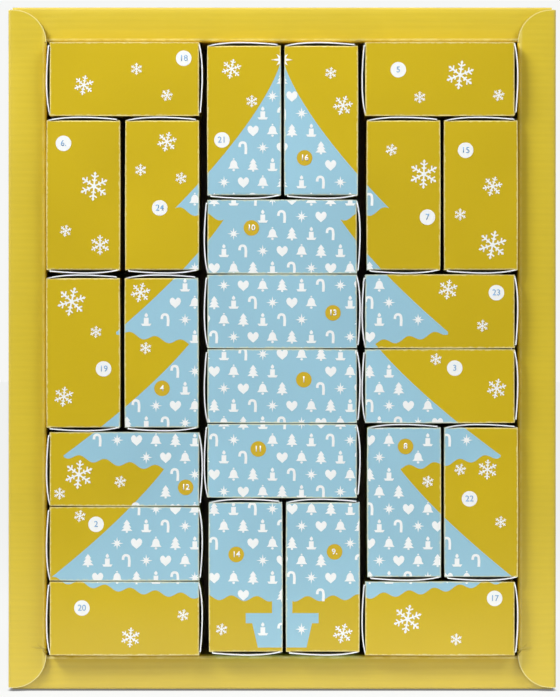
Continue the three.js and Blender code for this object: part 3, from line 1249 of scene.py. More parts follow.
def snowflake(radius: float) -> tuple[Outline, ...]:
    """Draws a six-armed ice crystal with two pairs of barbs and a lozenge on each arm.

    Args:
        radius: From its middle to an arm's tip, in millimetres.

    Returns:
        Its outline.
    """
    stem = 0.04 + 0.11 / radius
    width = 1.7 * stem
    slope = math.radians(60)
    side = [(-stem, 0.14)]
    for root, length in ((0.33, 0.15), (0.58, 0.25)):
        tip = (-stem - length * math.sin(slope), root + length * math.cos(slope))
        side += [
            (-stem, root),
            tip,
            (tip[0] + width * math.cos(slope), tip[1] + width * math.sin(slope)),
            (-stem, root + width / math.sin(slope)),
        ]
    side += [(-stem, 0.8), (-0.1, 0.88)]
    arm = [*side, (0, 1.0), *[(-x, z) for x, z in reversed(side)]]
    outline = []
    for number in range(6):
        turn = number * math.tau / 6
        for x, z in arm:
            outline.append(
                (
                    radius * (x * math.cos(turn) + z * math.sin(turn)),
                    radius * (z * math.cos(turn) - x * math.sin(turn)),
                    True,
                )
            )
    return (tuple(outline),)


def enlarged(outlines: Sequence[Outline], factor: float) -> tuple[Outline, ...]:
    """Scales outlines about their middle."""
    return tuple(
        tuple((x * factor, z * factor, sharp) for x, z, sharp in line) for line in outlines
    )


def circle(radius: float, corners: int = 40) -> tuple[Outline, ...]:
    """Draws a round outline."""
    turns = [number * math.tau / corners for number in range(corners)]
    return (tuple((radius * math.cos(turn), radius * math.sin(turn), True) for turn in turns),)


class Stencils:
    """Flat shapes of ink, each cut once and then copied, which face the viewer."""

    def __init__(self) -> None:
        """Starts with no shapes."""
        self.masters: dict[str, bpy.types.Object] = {}

    def cut(self, name: str, outlines: Sequence[Outline]) -> None:
        """Makes a shape from closed outlines.

        Args:
            name: What it is called later.
            outlines: Its outlines, in millimetres.
        """
        curve = bpy.data.curves.new(name, "CURVE")
        curve.dimensions = "2D"
        curve.fill_mode = "FRONT"
        curve.resolution_u = 3
        for outline in outlines:
            spline = curve.splines.new("BEZIER")
            spline.bezier_points.add(len(outline) - 1)
            spline.use_cyclic_u = True
            for point, (x, z, sharp) in zip(spline.bezier_points, outline):
                point.co = (x, z, 0)
                point.handle_left_type = point.handle_right_type = "VECTOR" if sharp else "AUTO"
            if all(sharp for _, _, sharp in outline):
                spline.resolution_u = 1
        self._keep(name, bpy.data.objects.new(name, curve))

    def letter(self, name: str, words: str, height: float, weight: float) -> None:
        """Makes digits from Blender's own typeface.

        Args:
            name: What they are called later.
            words: The digits.
            height: The type size, in millimetres.
            weight: How far the strokes are fattened.
        """
        text = bpy.data.curves.new(name, "FONT")
        text.body = words
        text.size = height
        text.align_x = "CENTER"
        text.align_y = "CENTER"
        text.resolution_u = 4
        text.offset = weight
        self._keep(name, bpy.data.objects.new(name, text))

    def _keep(self, name: str, obj: bpy.types.Object) -> None:
        """Turns a curve or text into a flat mesh that faces -Y, and keeps it.

        Args:
            name: What it is called later.
            obj: The curve or text.
        """
        bpy.context.scene.collection.objects.link(obj)
        take_up(obj)
        bpy.ops.object.convert(target="MESH")
        obj = bpy.context.object
        obj.data.transform(Matrix.Rotation(math.radians(90), 4, "X"))
        obj.data.materials.clear()
        self.masters[name] = obj

    def print(
        self, name: str, ink: bpy.types.Material, x: float, z: float, layer: float, turn: float = 0
    ) -> bpy.types.Object:
        """Lays a copy of a shape down.

        Args:
            name: The shape.
            ink: Its material.
            x: Its place across, in millimetres.
            z: Its height, in millimetres.
            layer: How far it stands off the board.
            turn: How far it is turned, in degrees.

        Returns:
            The copy.
        """
        copy = twin(self.masters[name], name)
        turned = Matrix.Rotation(math.radians(turn), 4, "Y")
        copy.data.transform(Matrix.Translation((x, -layer, z)) @ turned)
        copy.data.materials.append(ink)
        return copy

    def clear(self) -> None:
        """Puts the shapes away."""
        discard(*self.masters.values())
        self.masters.clear()


@dataclass(frozen=True)
class Flake:
    """A snowflake on the gold: its carton, its place on the picture, its size and its turn."""

    carton: str
    x: float
    z: float
    size: str
    turn: float = 0


@dataclass
class PictureMaker:
    """Prints the discs, the numbers and the white figures on the cartons."""

    fir: FirTree
    stencils: Stencils
    white: bpy.types.Material
    blue: bpy.types.Material
    gold: bpy.types.Material
    pitch: float = 9.6
    row: float = 8.5
    disc: float = 3.85
    layer: float = 0.02
    thickness: float = 0.03
    margin: float = 0.35
    reach: float = 3.2
    foot: float = 2.7
    room: float = 7.6
    over: float = 0.04
    bold: tuple[float, float] = (4.0, 0.09)
    plain: tuple[float, float] = (4.2, 0.02)
    rows: range = range(-1, 38)
    columns: range = range(-13, 14)
    first_row: float = 14
    motif_scale: float = 1.12
    tip_scale: float = 1.9
    tip_height: float = 312.5
    tip_cartons: tuple[str, ...] = ("21", "16")
    sizes: dict[str, float] = field(
        default_factory=lambda: {"large": 7.3, "middle": 5.1, "small": 3.1}
    )
    discs: dict[str, tuple[float, float]] = field(
        default_factory=lambda: {
            "18": (-48.7, 313.3), "05": (57.4, 307.6), "06": (-108.1, 271.2), "21": (-29.8, 272.9),
            "16": (11.1, 264.0), "15": (90.7, 267.8), "24": (-60.5, 239.3), "10": (-15.2, 229.4),
            "07": (71.8, 234.7), "23": (105.9, 197.4), "13": (25.1, 187.4), "19": (-88.3, 159.7),
            "04": (-59.4, 150.1), "01": (10.7, 154.4), "03": (85.3, 160.1), "08": (61.0, 121.4),
            "11": (-11.8, 120.1), "12": (-47.7, 101.2), "22": (92.6, 95.5), "02": (-92.0, 82.9),
            "14": (-22.7, 68.0), "09": (25.9, 69.3), "17": (105.0, 46.3), "20": (-99.0, 41.5),
        }
    )
    flakes: tuple[Flake, ...] = (
        Flake("18", -98, 300, "middle", 10), Flake("18", -72, 308, "small"),
        Flake("18", -57, 295, "small", 20), Flake("05", 88, 305, "large", 8),
        Flake("05", 68, 294, "small"), Flake("05", 107, 295, "small", 15),
        Flake("21", -25, 308, "middle", 12), Flake("21", -15, 292, "small"),
        Flake("16", 24, 306, "small", 6), Flake("16", 30, 290, "middle", 20),
        Flake("06", -93, 250, "large", 5), Flake("06", -107, 228, "small", 12),
        Flake("06", -90, 221, "middle"), Flake("24", -57, 272, "middle", 14),
        Flake("24", -70, 258, "small"), Flake("24", -50, 254, "small", 8),
        Flake("07", 54, 268, "small", 10), Flake("07", 70, 256, "large", 2),
        Flake("15", 104, 250, "middle", 18), Flake("15", 88, 236, "small"),
        Flake("15", 104, 221, "large", 11), Flake("23", 82, 199, "middle", 9),
        Flake("23", 99, 181, "small", 4), Flake("19", -104, 193, "large", 13),
        Flake("19", -92, 178, "small", 3), Flake("19", -108, 146, "middle", 7),
        Flake("04", -70, 197.5, "middle", 16), Flake("04", -67.5, 170, "small", 5),
        Flake("03", 106, 150, "middle", 12), Flake("03", 76, 164.5, "small", 8),
        Flake("12", -100.5, 107.5, "large", 6), Flake("12", -80, 104, "small", 14),
        Flake("12", -110, 98, "small", 2), Flake("08", 72, 104, "small", 9),
        Flake("22", 101.5, 110, "middle", 3), Flake("22", 88, 110, "small", 17),
        Flake("22", 108, 84, "small", 5), Flake("02", -100, 87, "small", 10),
        Flake("20", -75, 27, "middle", 4), Flake("20", -49, 38, "small", 12),
        Flake("14", -30, 31, "small", 7), Flake("09", 30, 29, "middle", 15),
        Flake("17", 62, 36, "large", 10), Flake("17", 86, 26, "small", 3),
    )

    def prepare(self) -> None:
        """Cuts all the shapes once."""
        for motif in Motif:
            self.stencils.cut(motif.name, enlarged(motif.value, self.motif_scale))
        for size, radius in self.sizes.items():
            self.stencils.cut(size, snowflake(radius))
        self.stencils.cut("disc", circle(self.disc))
        self.stencils.cut("tip", enlarged(Motif.STAR.value, self.tip_scale))
        for label in self.discs:
            words = label.lstrip("0") + ("." if label in ("06", "09") else "")
            on_fir = self.fir.covers(*self.discs[label])
            self.stencils.letter(label, words, *(self.bold if on_fir else self.plain))

    def figures(self) -> list[tuple[str, float, float]]:
        """Lists the figures on the fir, in staggered rows.

        Returns:
            Each one's name, its place across and its height.
        """
        names = [motif.name for motif in Motif]
        found = []
        for line in self.rows:
            z = self.first_row + line * self.row
            for number in self.columns:
                x = (number + (0.5 if line % 2 else 0)) * self.pitch
                clear = all(math.dist((x, z), disc) >= self.room for disc in self.discs.values())
                if clear and self.fir.covers(x, z, self.foot):
                    found.append((names[(number + 2 * line) % len(names)], x, z))
        return found

    def print_on(
        self, seat: Seat, maker: CartonMaker, figures: Sequence[tuple[str, float, float]]
    ) -> bpy.types.Object:
        """Prints one carton's face.

        Args:
            seat: The carton's seat.
            maker: The maker of the carton, which knows the face's form.
            figures: The figures of the whole picture.

        Returns:
            The print, as one object.
        """
        across, up = seat.half_across + self.reach, seat.half_up + self.reach
        sheets = [
            self.stencils.print(name, self.white, x, z, self.layer)
            for name, x, z in figures
            if abs(x - seat.x) < across and abs(z - seat.z) < up
        ]
        sheets += [
            self.stencils.print(flake.size, self.white, flake.x, flake.z, self.layer, flake.turn)
            for flake in self.flakes
            if flake.carton == seat.label
        ]
        if seat.label in self.tip_cartons:
            sheets.append(self.stencils.print("tip", self.white, 0, self.tip_height, self.layer))
        x, z = self.discs[seat.label]
        on_fir = self.fir.covers(x, z)
        disc, digits = (self.gold, self.white) if on_fir else (self.white, self.blue)
        sheets.append(self.stencils.print("disc", disc, x, z, self.layer))
        above = self.layer + self.over
        sheets.append(self.stencils.print(seat.label, digits, x, z, above))
        take_up(*reversed(sheets))
        bpy.ops.object.join()
        work = Workpiece(bpy.context.object)
        for axis, middle, half in ((0, seat.x, seat.half_across), (2, seat.z, seat.half_up)):
            work.trim(axis, middle + half - self.margin, keep_below=True)
            work.trim(axis, middle - half + self.margin, keep_below=False)
        work.modify("SOLIDIFY", thickness=self.thickness, offset=1)
        obj = work.close()
        obj.name = f"print_{seat.label}"
        obj.data.transform(Matrix.Translation((-seat.x, 0, -seat.z)))
        if seat.lying:
            obj.data.transform(Matrix.Rotation(math.radians(-90), 4, "Y"))
        move_corners(
            obj,
            lambda corner: Vector(
                (corner.x, corner.y - SIZES.depth + maker.face_height(corner.x, corner.z), corner.z)
            ),
        )
        obj.data.transform(seat.matrix)
        return obj


@dataclass(frozen=True)
class PouchMaker:
    """Models one side-gusset pouch about its own middle: a filled body with a flat seal.

    The body closes in `steps`, each with its rise and what it leaves of the width and the depth.
    """

    slack: float = 0.4
    corner: float = 3.4
    foot: float = 13
    foot_inset: float = 1.3
    closing: float = 20
    gusset: float = 0.42
    seal: float = 6.9
    crumple: float = 0.5
    steps: tuple[tuple[float, float, float], ...] = (
        (5, 0.98, 0.78), (4.5, 0.98, 0.4), (3.5, 1, 0.16),
    )
    bends: tuple[float, ...] = (3, 11, 16, 24)
    grid: tuple[float, float] = (9, 7)

    @staticmethod
    def extent(label: str) -> tuple[Vector, Vector]:
        """Returns the lowest and highest corner of a pouch's CAD node, in millimetres."""
        low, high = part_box(f"coffee_pouch_{label}")
        return low / MM, high / MM

    def model(self, width: float, depth: float, height: float) -> bpy.types.Object:
        """Models the pouch.

        Args:
            width: Its full width, in millimetres.
            depth: Its full depth.
            height: Its full height, with the seal.

        Returns:
            The pouch, about its own middle.
        """
        top = height / 2
        shoulder = top - self.closing
        half = width / 2 - self.slack
        deep = depth / 2
        work = Workpiece.block(
            "pouch", (-half, self.slack - deep, -top), (half, deep - self.slack, shoulder)
        )
        work.pick_facing((0, 0, 1))
        for rise, wide, thick in self.steps:
            work.extrude((0, 0, rise))
            work.stretch((wide, thick, 1), (0, 0, 0))
        work.extrude((0, 0, self.seal))
        work.score(2, [*(rise - top for rise in self.bends), 0, 8])
        for axis, offset in enumerate(self.grid):
            work.score(axis, [-offset, 0, offset])
        work.pick(
            Kind.EDGE,
            lambda p: abs(p.x) > half - 0.3 and abs(p.y) > deep - 0.8 and p.z < shoulder + NEAR,
        )
        work.round(self.corner, 3)
        obj = work.close()
        move_corners(obj, lambda corner: self._filled(corner, half, deep, top))
        work.open()
        work.modify("SUBSURF", levels=1, render_levels=1)
        obj = work.finish(60)
        move_corners(obj, lambda corner: self._creased(corner, half, deep, top))
        return obj

    def _filled(self, corner: Vector, half: float, deep: float, top: float) -> Vector:
        """Narrows the foot below the tuck flap and folds the gussets in towards the seal.

        Args:
            corner: A corner's place.
            half: Half the pouch's width.
            deep: Half its depth.
            top: Half its height.

        Returns:
            The corner's new place.
        """
        x, y, z = corner
        inset = self.foot_inset / half
        if z < self.foot - top:
            x *= 1 - inset
        rise = clamp((z - (top - self.closing)) / sum(step[0] for step in self.steps))
        gusset = abs(y) < deep * 0.3 and abs(x) > half * 0.8
        x *= 1 - (self.gusset if gusset else inset) * rise
        return Vector((x, y, z))

    def _creased(self, corner: Vector, half: float, deep: float, top: float) -> Vector:
        """Presses shallow creases into the paper, and hardly any into its seal.

        Args:
            corner: A corner's place.
            half: Half the pouch's width.
            deep: Half its depth.
            top: Half its height.

        Returns:
            The corner's new place.
        """
        x, y, z = corner
        depth = self.crumple * (noise.noise(corner / 9) - 0.6)
        calm = 1.0 if z < top - 8 else 0.1
        return Vector((x * (1 + 0.3 * calm * depth / half), y * (1 + calm * depth / deep), z))

    def pack(self, pouch: bpy.types.Object, label: str, lying: bool) -> bpy.types.Object:
        """Copies a pouch into its carton.

        Args:
            pouch: The pouch to copy.
            label: The carton's two digits.
            lying: True if the carton lies.

        Returns:
            The copy.
        """
        bag = twin(pouch, f"box_{label}_pouch")
        low, high = self.extent(label)
        turned = Matrix.Rotation(math.radians(90 if lying else 0), 4, "Y")
        bag.data.transform(Matrix.Translation((low + high) / 2) @ turned)
        return bag


@dataclass
class Tray:
    """The corrugated tray: a flat back, and hollow rims that are rolled over and locked into it."""

    width: float = 271.8
    height: float = 339.35
    board: float = 1.6
    seat: float = 1.66
    back: float = 20.2
    side_rim: float = 18.9
    side_depth: float = 36.0
    end_rim: float = 17.25
    end_depth: float = 34.1
    ear_setback: float = 1.5
    ear: float = 16.4
    fold: float = 1.3
    crown: float = 0.28
    play: float = 0.3
    tab: float = 24
    tab_length: float = 1.3
    side_tabs: int = 3
    end_tabs: int = 2
    corner_tab: float = 13
    under_ears: float = 0.5
    tab_taper: float = 0.96
    slot_reach: float = 5
    back_fold: float = 1.1
    grid: float = 12
    grid_clear: float = 1.5
    grid_across: tuple[float, ...] = (0.22, 0.4, 0.6, 0.78)
    sway: float = 0.1
    sway_length: float = 38
    ripple: float = 0.05
    ripple_length: float = 13
    ripple_width: float = 30
    lean_width: float = 4
    side_print: bpy.types.Material | None = None
    end_print: bpy.types.Material | None = None
    inside: bpy.types.Material | None = None
    cut: bpy.types.Material | None = None

    @property
    def half_pocket_up(self) -> float:
        """Half the pocket's height."""
        return self.height / 2 - self.end_rim

    @property
    def half_pocket_across(self) -> float:
        """Half the pocket's width."""
        return self.width / 2 - self.side_rim

    def _folded(
        self,
        name: str,
        width: float,
        depth: float,
        half: float,
        inner_half: float,
        tabs: int,
        eared: bool,
    ) -> Workpiece:
        """Folds a rim from a sheet: an outer wall, a face, and an inner wall with its lock tabs.

        Args:
            name: The piece's name.
            width: The width of its face.
            depth: How far its face stands in front of the tray's back.
            half: Half its length.
            inner_half: Half its inner wall's length.
            tabs: How many lock tabs it has.
            eared: True if its face ends in quarter-round ears.

        Returns:
            The sheet, without thickness, with the tray's edge at x = 0 and its front towards -Y.
        """
        work = Workpiece.block(name, (0, -depth, -half), (width, -self.seat, half))
        for direction in ((0, 1, 0), (0, 0, 1), (0, 0, -1)):
            work.pick_facing(direction)
            work.delete_faces()
        for place in (0, width):
            work.pick(Kind.EDGE, lambda p: abs(p.x - place) < NEAR and p.y < -depth + NEAR)
            work.round(self.fold, 5)
        work.score(2, [-inner_half, 0, inner_half])
        flat = width - (self.fold if eared else 0)
        work.pick(Kind.FACE, lambda p: p.x > flat - NEAR and abs(p.z) > inner_half - NEAR)
        work.delete_faces()
        if eared:
            for dissolving in (False, True):
                work.pick(
                    Kind.EDGE, lambda p: abs(p.x - flat) < NEAR and abs(p.z) > inner_half - NEAR
                )
                if dissolving:
                    bpy.ops.mesh.dissolve_edges(use_verts=True)
                else:
                    work.extrude((self.fold, 0, 0))
            work.pick(Kind.CORNER, lambda p: p.x > width - NEAR and abs(p.z) > half - NEAR)
            work.round(self.ear, 16, corners=True)
        work.score(0, [width * share for share in self.grid_across])
        middles = spread(tabs, inner_half)
        reach = self.tab / 2
        rungs = [middle + offset for middle in middles for offset in (-reach, reach)]
        steps = round(2 * half / self.grid)
        evenly = [(-1 + 2 * number / steps) * half for number in range(1, steps)]
        taken = (*rungs, -inner_half, 0, inner_half)
        work.score(2, rungs)
        free = [z for z in evenly if all(abs(z - other) > self.grid_clear for other in taken)]
        work.score(2, free)
        for middle in middles:
            work.pick(
                Kind.EDGE,
                lambda p: p.x > width - NEAR
                and p.y > -self.seat - NEAR
                and abs(p.z - middle) < reach + NEAR,
            )
            work.extrude((0, self.tab_length, 0))
            work.stretch((1, 1, self.tab_taper), (0, 0, middle))
        return work

    def _springy(
        self,
        width: float,
        depth: float,
        inner_half: float,
        at_ends: float,
        raised: float,
        seed: float,
    ) -> Callable[[Vector], Vector]:
        """Gives the rim its spring: the face crowns between its folds and wavers along its length.

        Args:
            width: The face's width.
            depth: The face's distance from the back.
            inner_half: Half its inner wall's length, past which the rims lie over each other.
            at_ends: How much lower the face lies there.
            raised: How far its outer wall leans in at the front.
            seed: Where this rim's waver starts.

        Returns:
            A corner's new place from its old one.
        """

        def shifted(corner: Vector) -> Vector:
            """Returns a corner's new place."""
            share = clamp((-corner.y - self.seat) / (depth - self.seat))
            u = clamp(2 * corner.x / width - 1, low=-1.0)
            across, along = corner.x / self.ripple_width, corner.z / self.ripple_length
            sway = noise.noise(Vector((seed, 0, corner.z / self.sway_length)))
            ripple = noise.noise(Vector((seed + 9, across, along)))
            past = clamp((abs(corner.z) - inner_half + 8) / 10)
            drop = self.crown * u * u * (1 - past) + self.sway * (1 + sway)
            drop += self.ripple * (1 + ripple)
            drop = (1 - 0.6 * past) * drop + at_ends * past
            lean = raised * share * max(0.0, 1 - corner.x / self.lean_width)
            return Vector((corner.x + lean, corner.y + drop * share**3, corner.z))

        return shifted

    def _set(
        self,
        work: Workpiece,
        printed: bpy.types.Material,
        spring: Callable[[Vector], Vector],
        edge: Sequence[float],
        turn: float,
    ) -> bpy.types.Object:
        """Gives a folded rim its finishes, its thickness and its spring, and sets it in place.

        Args:
            work: The rim, as a sheet.
            printed: Its printed side.
            spring: Gives a corner's new place from its old one.
            edge: The place on the tray's edge that the rim's own middle goes to.
            turn: How far the rim is turned there, in degrees.

        Returns:
            The rim.
        """
        self._dress(work.close(), printed)
        work.open()
        work.thicken(self.board)
        obj = work.finish(28)
        move_corners(obj, spring)
        turned = Matrix.Rotation(math.radians(turn), 4, "Y")
        obj.data.transform(Matrix.Translation(edge) @ turned)
        return obj

    def side(self, name: str, turn: float, seed: float) -> bpy.types.Object:
        """Builds a side rim, whose face ends in a quarter-round ear at the top and the bottom.

        Args:
            name: The piece's name.
            turn: 0 for the left rim and 180 for the right one.
            seed: Where its waver starts.

        Returns:
            The rim.
        """
        half = self.height / 2 - self.ear_setback
        inner_half = self.half_pocket_up - self.play
        work = self._folded(
            name, self.side_rim, self.side_depth, half, inner_half, self.side_tabs, eared=True
        )
        spring = self._springy(self.side_rim, self.side_depth, inner_half, 0, 0, seed)
        side = -1 if turn == 0 else 1
        edge = (side * self.width / 2, self.back, self.height / 2)
        return self._set(work, self.side_print, spring, edge, turn)

    def end(self, name: str, turn: float, raised: float, seed: float) -> bpy.types.Object:
        """Builds an end rim, whose face runs on under the ears, with a tab turned in at each end.

        Args:
            name: The piece's name.
            turn: 90 for the top rim and -90 for the bottom one.
            raised: How far its outer wall leans in at the front.
            seed: Where its waver starts.

        Returns:
            The rim.
        """
        half = self.width / 2 - self.board - self.play
        inner_half = self.half_pocket_across - 0.05
        front = self.fold - self.end_depth
        work = self._folded(
            name, self.end_rim, self.end_depth, half, inner_half, self.end_tabs, eared=False
        )
        for sign in (1, -1):
            work.pick(
                Kind.EDGE, lambda p: p.x < NEAR and p.z * sign > half - NEAR and p.y > front - NEAR
            )
            work.extrude((0.4, 0, 0), (self.corner_tab, 0, 0))
        spring = self._springy(
            self.end_rim, self.end_depth, inner_half, self.under_ears, raised, seed
        )
        edge = (0, self.back, self.height if turn > 0 else 0)
        return self._set(work, self.end_print, spring, edge, turn)

    def panel(self) -> bpy.types.Object:
        """Builds the flat back, with rounded folds at its edges and a slot for each lock tab.

        Returns:
            The back.
        """
        half = self.width / 2
        work = Workpiece.block("tray_back", (-half, -self.board, 0), (half, 0, self.height))
        work.pick(Kind.EDGE, lambda p: p.y > -NEAR)
        work.round(self.back_fold, 4)
        obj = work.close()
        self._dress(obj, self.side_print)
        for face in obj.data.polygons:
            face.material_index = 1 if face.normal.y < -0.9 else 0
        cutter = self._slot_cutter()
        work.open()
        work.modify("BOOLEAN", operation="DIFFERENCE", object=cutter, solver="EXACT")
        obj = work.finish(40)
        discard(cutter)
        obj.data.transform(Matrix.Translation((0, self.back, 0)))
        return obj

    def _slot_cutter(self) -> bpy.types.Object:
        """Makes the cutters of all the slots.

        Returns:
            The cutters, as one object.
        """
        half = self.tab / 2 + self.play
        across, up, centre = self.half_pocket_across, self.half_pocket_up, self.height / 2
        reach = self.slot_reach
        cutters = []
        for sign in (-1, 1):
            for wall, run, tabs, level in (
                (across, up, self.side_tabs, False),
                (up, across, self.end_tabs, True),
            ):
                thick = sorted((sign * (wall - self.play), sign * (wall + self.board + self.play)))
                for middle in spread(tabs, run):
                    long = (middle - half, middle + half)
                    (left, right), (low, high) = (long, thick) if level else (thick, long)
                    foot, head = (left, -reach, centre + low), (right, reach, centre + high)
                    cutters.append(Workpiece.block("slot", foot, head).close())
        take_up(*cutters)
        bpy.ops.object.join()
        self._dress(cutters[0], self.side_print)
        for face in cutters[0].data.polygons:
            face.material_index = 2
        return cutters[0]

    def _dress(self, obj: bpy.types.Object, printed: bpy.types.Material) -> None:
        """Gives a piece its three finishes: printed side, inside and cut edge."""
        for material in (printed, self.inside, self.cut):
            obj.data.materials.append(material)


@dataclass(frozen=True)
class Lamp:
    """A soft lamp: how far aside and above it hangs, in degrees, and its share of the light."""

    name: str
    aside: float
    above: float
    share: float
    distance: float = 1.35
    size: float = 0.48
    half_beam: float = math.radians(30)

    def hang(self, eye: float) -> None:
        """Hangs the lamp, with its beam turned to the calendar's top.

        Args:
            eye: The calendar's middle height.
        """
        across, up = math.radians(self.aside), math.radians(self.above)
        place = Vector(
            (math.sin(across) * math.cos(up), -math.cos(across) * math.cos(up), math.sin(up))
        )
        data = bpy.data.lights.new(self.name, "AREA")
        data.shape = "SQUARE"
        data.size = self.size
        data.spread = 2 * self.half_beam
        narrowed = 1 - self.half_beam / math.tan(self.half_beam)
        data.energy = narrowed * self.share * (math.pi * self.distance) ** 2 / -place.y
        lamp = bpy.data.objects.new(self.name, data)
        lamp.location = place * self.distance + Vector((0, 0, eye))
        beam = Vector((0, 0, 2 * eye)) - lamp.location
        lamp.rotation_euler = beam.to_track_quat("-Z", "Y").to_euler()
        bpy.context.scene.collection.objects.link(lamp)


@dataclass(frozen=True)
class Studio:
    """The floor, the lamps and the camera, in metres."""

    frame_width: float = 0.2777
    distance: float = 1.25
    front: float = -0.016
    aside: float = -0.00107
    eye: float = 0.1698
    room: float = 0.45
    dark_patch: tuple[float, float] = (-0.95, -0.7)
    patch_light: float = 0.1
    table: float = 12
    table_front: float = 0.45
    table_below: float = 0.0002
    matt: tuple[float, float, float, float] = (-0.24, -0.14, 0.1, 0.8)
    # The strip near the calendar glows onto it as a fill light, though it is no lamp.
    fill_glow: float = 0.15
    soft: float = 0.09
    # The pale glow dims within this reach of the object: a painted contact shadow.
    painted_contact_shadow: float = 0.003
    glow: tuple[float, float, float, float] = (0.4, 0.8, 0.2, 0.908)
    pale: Colour = shade(246, 247, 246)
    sensor: float = 36
    clip: tuple[float, float] = (0.05, 30)
    lamps: tuple[Lamp, ...] = (
        Lamp("upper_left", aside=-54.8, above=44, share=0.64),
        Lamp("upper_right", aside=56.3, above=43.3, share=0.265),
    )

    def build(self) -> None:
        """Sets the studio up."""
        self._world()
        self._floor()
        for lamp in self.lamps:
            lamp.hang(self.eye)
        self._camera()

    def _world(self) -> None:
        """Lights the room but for a dark patch around the camera, which sees a pale backdrop."""
        world = bpy.data.worlds.new("studio")
        bpy.context.scene.world = world
        graph = Graph(world)
        room, seen = graph.tree.nodes["Background"], graph.node("Background")
        _, depth, _ = graph.split(graph.node("TexCoord").outputs["Generated"])
        light = graph.between(depth, *self.dark_patch, self.patch_light * self.room, self.room)
        graph.feed(room, "Color", (1, 1, 1))
        graph.feed(room, "Strength", light)
        graph.feed(seen, "Color", self.pale)
        camera = graph.node("LightPath").outputs["Is Camera Ray"]
        graph.show("World Output", camera, room.outputs[0], seen.outputs[0])

    def _floor(self) -> None:
        """Lays the floor."""
        clear_bench()
        middle = (0, self.table / 2 - self.table_front, -self.table_below)
        bpy.ops.mesh.primitive_plane_add(size=self.table, location=middle)
        floor = bpy.context.object
        floor.name = "floor"
        bpy.ops.object.transform_apply(location=True, rotation=True, scale=True)
        floor.data.materials.append(self._paper())

    def _paper(self) -> bpy.types.Material:
        """Makes the floor's paper: to the object, a matt strip near it that also glows as a fill
        light, though it is no lamp; to the eye and in reflections, as pale as the backdrop.

        Returns:
            The material, which keeps the object's faint shadow and has a painted contact shadow
            where the object stands on it.
        """
        graph = Graph.of("floor")
        graph.tree.nodes.remove(graph.tree.nodes["Principled BSDF"])
        _, depth, _ = graph.split(graph.node("TexCoord").outputs["Object"])
        lit = graph.between(depth, *self.matt)
        # Near the calendar the floor is matt and glows onto it as a fill light, though it is no
        # lamp.
        matt, fill_glow = graph.node("BsdfDiffuse"), graph.node("Emission")
        graph.feed(matt, "Color", lit)
        graph.feed(fill_glow, "Color", lit)
        graph.feed(fill_glow, "Strength", self.fill_glow)
        # Painted contact shadow: the glow that the eye sees dims close to the object.
        painted_contact_shadow = graph.node("AmbientOcclusion")
        graph.feed(painted_contact_shadow, "Distance", self.painted_contact_shadow)
        soft, glow = graph.node("BsdfDiffuse"), graph.node("Emission")
        graph.feed(soft, "Color", (self.soft, self.soft, self.soft))
        graph.feed(glow, "Color", self.pale)
        graph.feed(glow, "Strength", graph.between(painted_contact_shadow.outputs["AO"], *self.glow))
        path = graph.node("LightPath")
        seen = graph.math("MAXIMUM", path.outputs["Is Camera Ray"], path.outputs["Is Glossy Ray"])
        unseen, shown = graph.together(matt, fill_glow), graph.together(soft, glow)
        graph.show("Material Output", seen, unseen, shown)
        return graph.owner

    def _camera(self) -> None:
        """Sets the camera up square to the calendar, at its middle height."""
        data = bpy.data.cameras.new("camera")
        data.sensor_fit = "HORIZONTAL"
        data.sensor_width = self.sensor
        data.lens = self.sensor * self.distance / self.frame_width
        data.clip_start, data.clip_end = self.clip
        camera = bpy.data.objects.new("camera", data)
        camera.location = (self.aside, self.front - self.distance, self.eye)
        camera.rotation_euler = (math.radians(90), 0, 0)
        bpy.context.scene.collection.objects.link(camera)
        bpy.context.scene.camera = camera


BLUE_CARTONS = ("10", "13", "01", "11", "14", "09")
ASKEW = 0.22
INK_STRENGTH = 0.97
INK_VARIES = 0.06


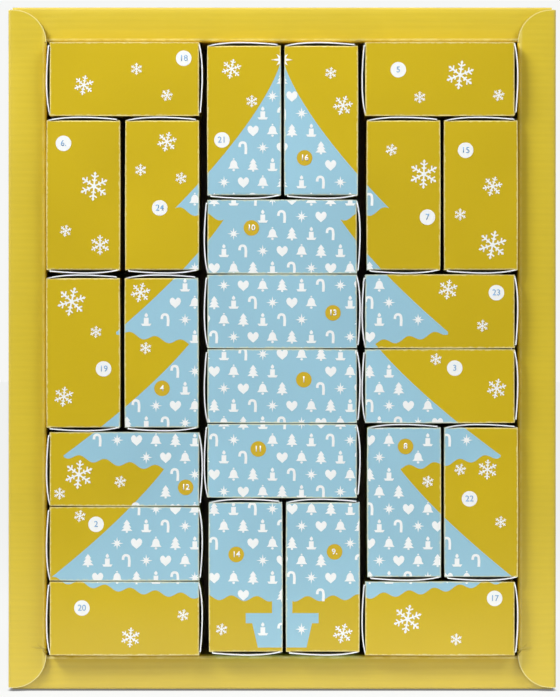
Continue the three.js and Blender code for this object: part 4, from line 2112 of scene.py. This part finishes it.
def main() -> None:
    """Builds the calendar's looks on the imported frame."""
    logging.basicConfig(level=logging.INFO, format="%(message)s")
    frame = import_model()
    bpy.context.scene.view_settings.view_transform = "Standard"

    Studio().build()

    upright = CorrugatedFinish(
        "tray_print_upright", (0, 0, 1), axis=0, centre=0, half=Tray.width / 2, rim=18.9, ears=True
    )
    middle = Tray.height / 2
    level = CorrugatedFinish(
        "tray_print_level", (0, 1, 1), axis=2, centre=middle, half=middle, rim=17.65, ears=False
    )
    # A greyish liner, darker than plain kraft, which also paints shade into the gaps between the
    # cartons.
    inner = BoardFinish("tray_inner_liner_shaded", shade(150, 134, 108), 1.2).material()
    tray = Tray(
        side_print=upright.material(),
        end_print=level.material(),
        inside=inner,
        cut=CutEdgeFinish("tray_cut_edge", Tray.back - Tray.side_depth, Tray.board).material(),
    )
    rims = {
        "rim_left": tray.side("tray_rim_left", turn=0, seed=1.3),
        "rim_right": tray.side("tray_rim_right", turn=180, seed=4.1),
        "rim_top": tray.end("tray_rim_top", turn=90, raised=0, seed=7.7),
        "rim_bottom": tray.end("tray_rim_bottom", turn=-90, raised=0.5, seed=11.9),
        "back_panel": tray.panel(),
    }
    for node, piece in rims.items():
        hand_over(piece, "tray", node)

    fir = FirTree()
    prints = {
        "gold": CartonFinish("carton_print_gold", GOLD, fir).material(),
        "blue": CartonFinish("carton_print_blue", LIGHT_BLUE, fir).material(),
    }
    maker = CartonMaker(
        printed=prints["gold"],
        inside=BoardFinish("carton_inside", GREY_BOARD).material(),
        cut=BoardFinish("carton_cut_edge", PALE_BOARD, 0.3).material(),
    )
    master = maker.model()

    picture = PictureMaker(
        fir,
        Stencils(),
        white=InkFinish("ink_white", INK_WHITE).material(),
        blue=InkFinish("ink_light_blue", shade(124, 172, 214)).material(),
        gold=InkFinish("ink_gold", shade(205, 173, 38)).material(),
    )
    picture.prepare()
    figures = picture.figures()
    log.info("%d figures on the fir", len(figures))

    pouches = PouchMaker()
    low, high = pouches.extent("06")
    pouch = pouches.model(*(high - low))
    pouch.data.materials.append(PouchFinish("pouch_kraft").material())

    labels = sorted(
        name.removeprefix("carton_") for name in frame["nodes"] if name.startswith("carton_")
    )
    for number, label in enumerate(labels):
        seat = Seat.of(label, ASKEW * noise.noise(Vector((number * 3.7, 1.3, 0.4))))
        finish = "blue" if label in BLUE_CARTONS else "gold"
        body, slot = f"box_{label}", f"carton_{finish}_print"

        carton = twin(master, f"box_{label}_carton")
        carton.data.materials[0] = prints[finish]
        strength = INK_STRENGTH + INK_VARIES * noise.noise(Vector((number * 2.3, 5.1, 0.7)))
        ink = carton.data.attributes.new("ink", "FLOAT_VECTOR", "POINT")
        ink.data.foreach_set("vector", [strength] * 3 * len(carton.data.vertices))
        carton.data.transform(seat.matrix)
        hand_over(carton, body, f"carton_{label}")
        hand_over(picture.print_on(seat, maker, figures), body)
        bag = pouches.pack(pouch, label, seat.lying)
        hand_over(bag, body, f"coffee_pouch_{label}")
    picture.stencils.clear()
    discard(master, pouch)


if __name__ == "__main__":
    main()
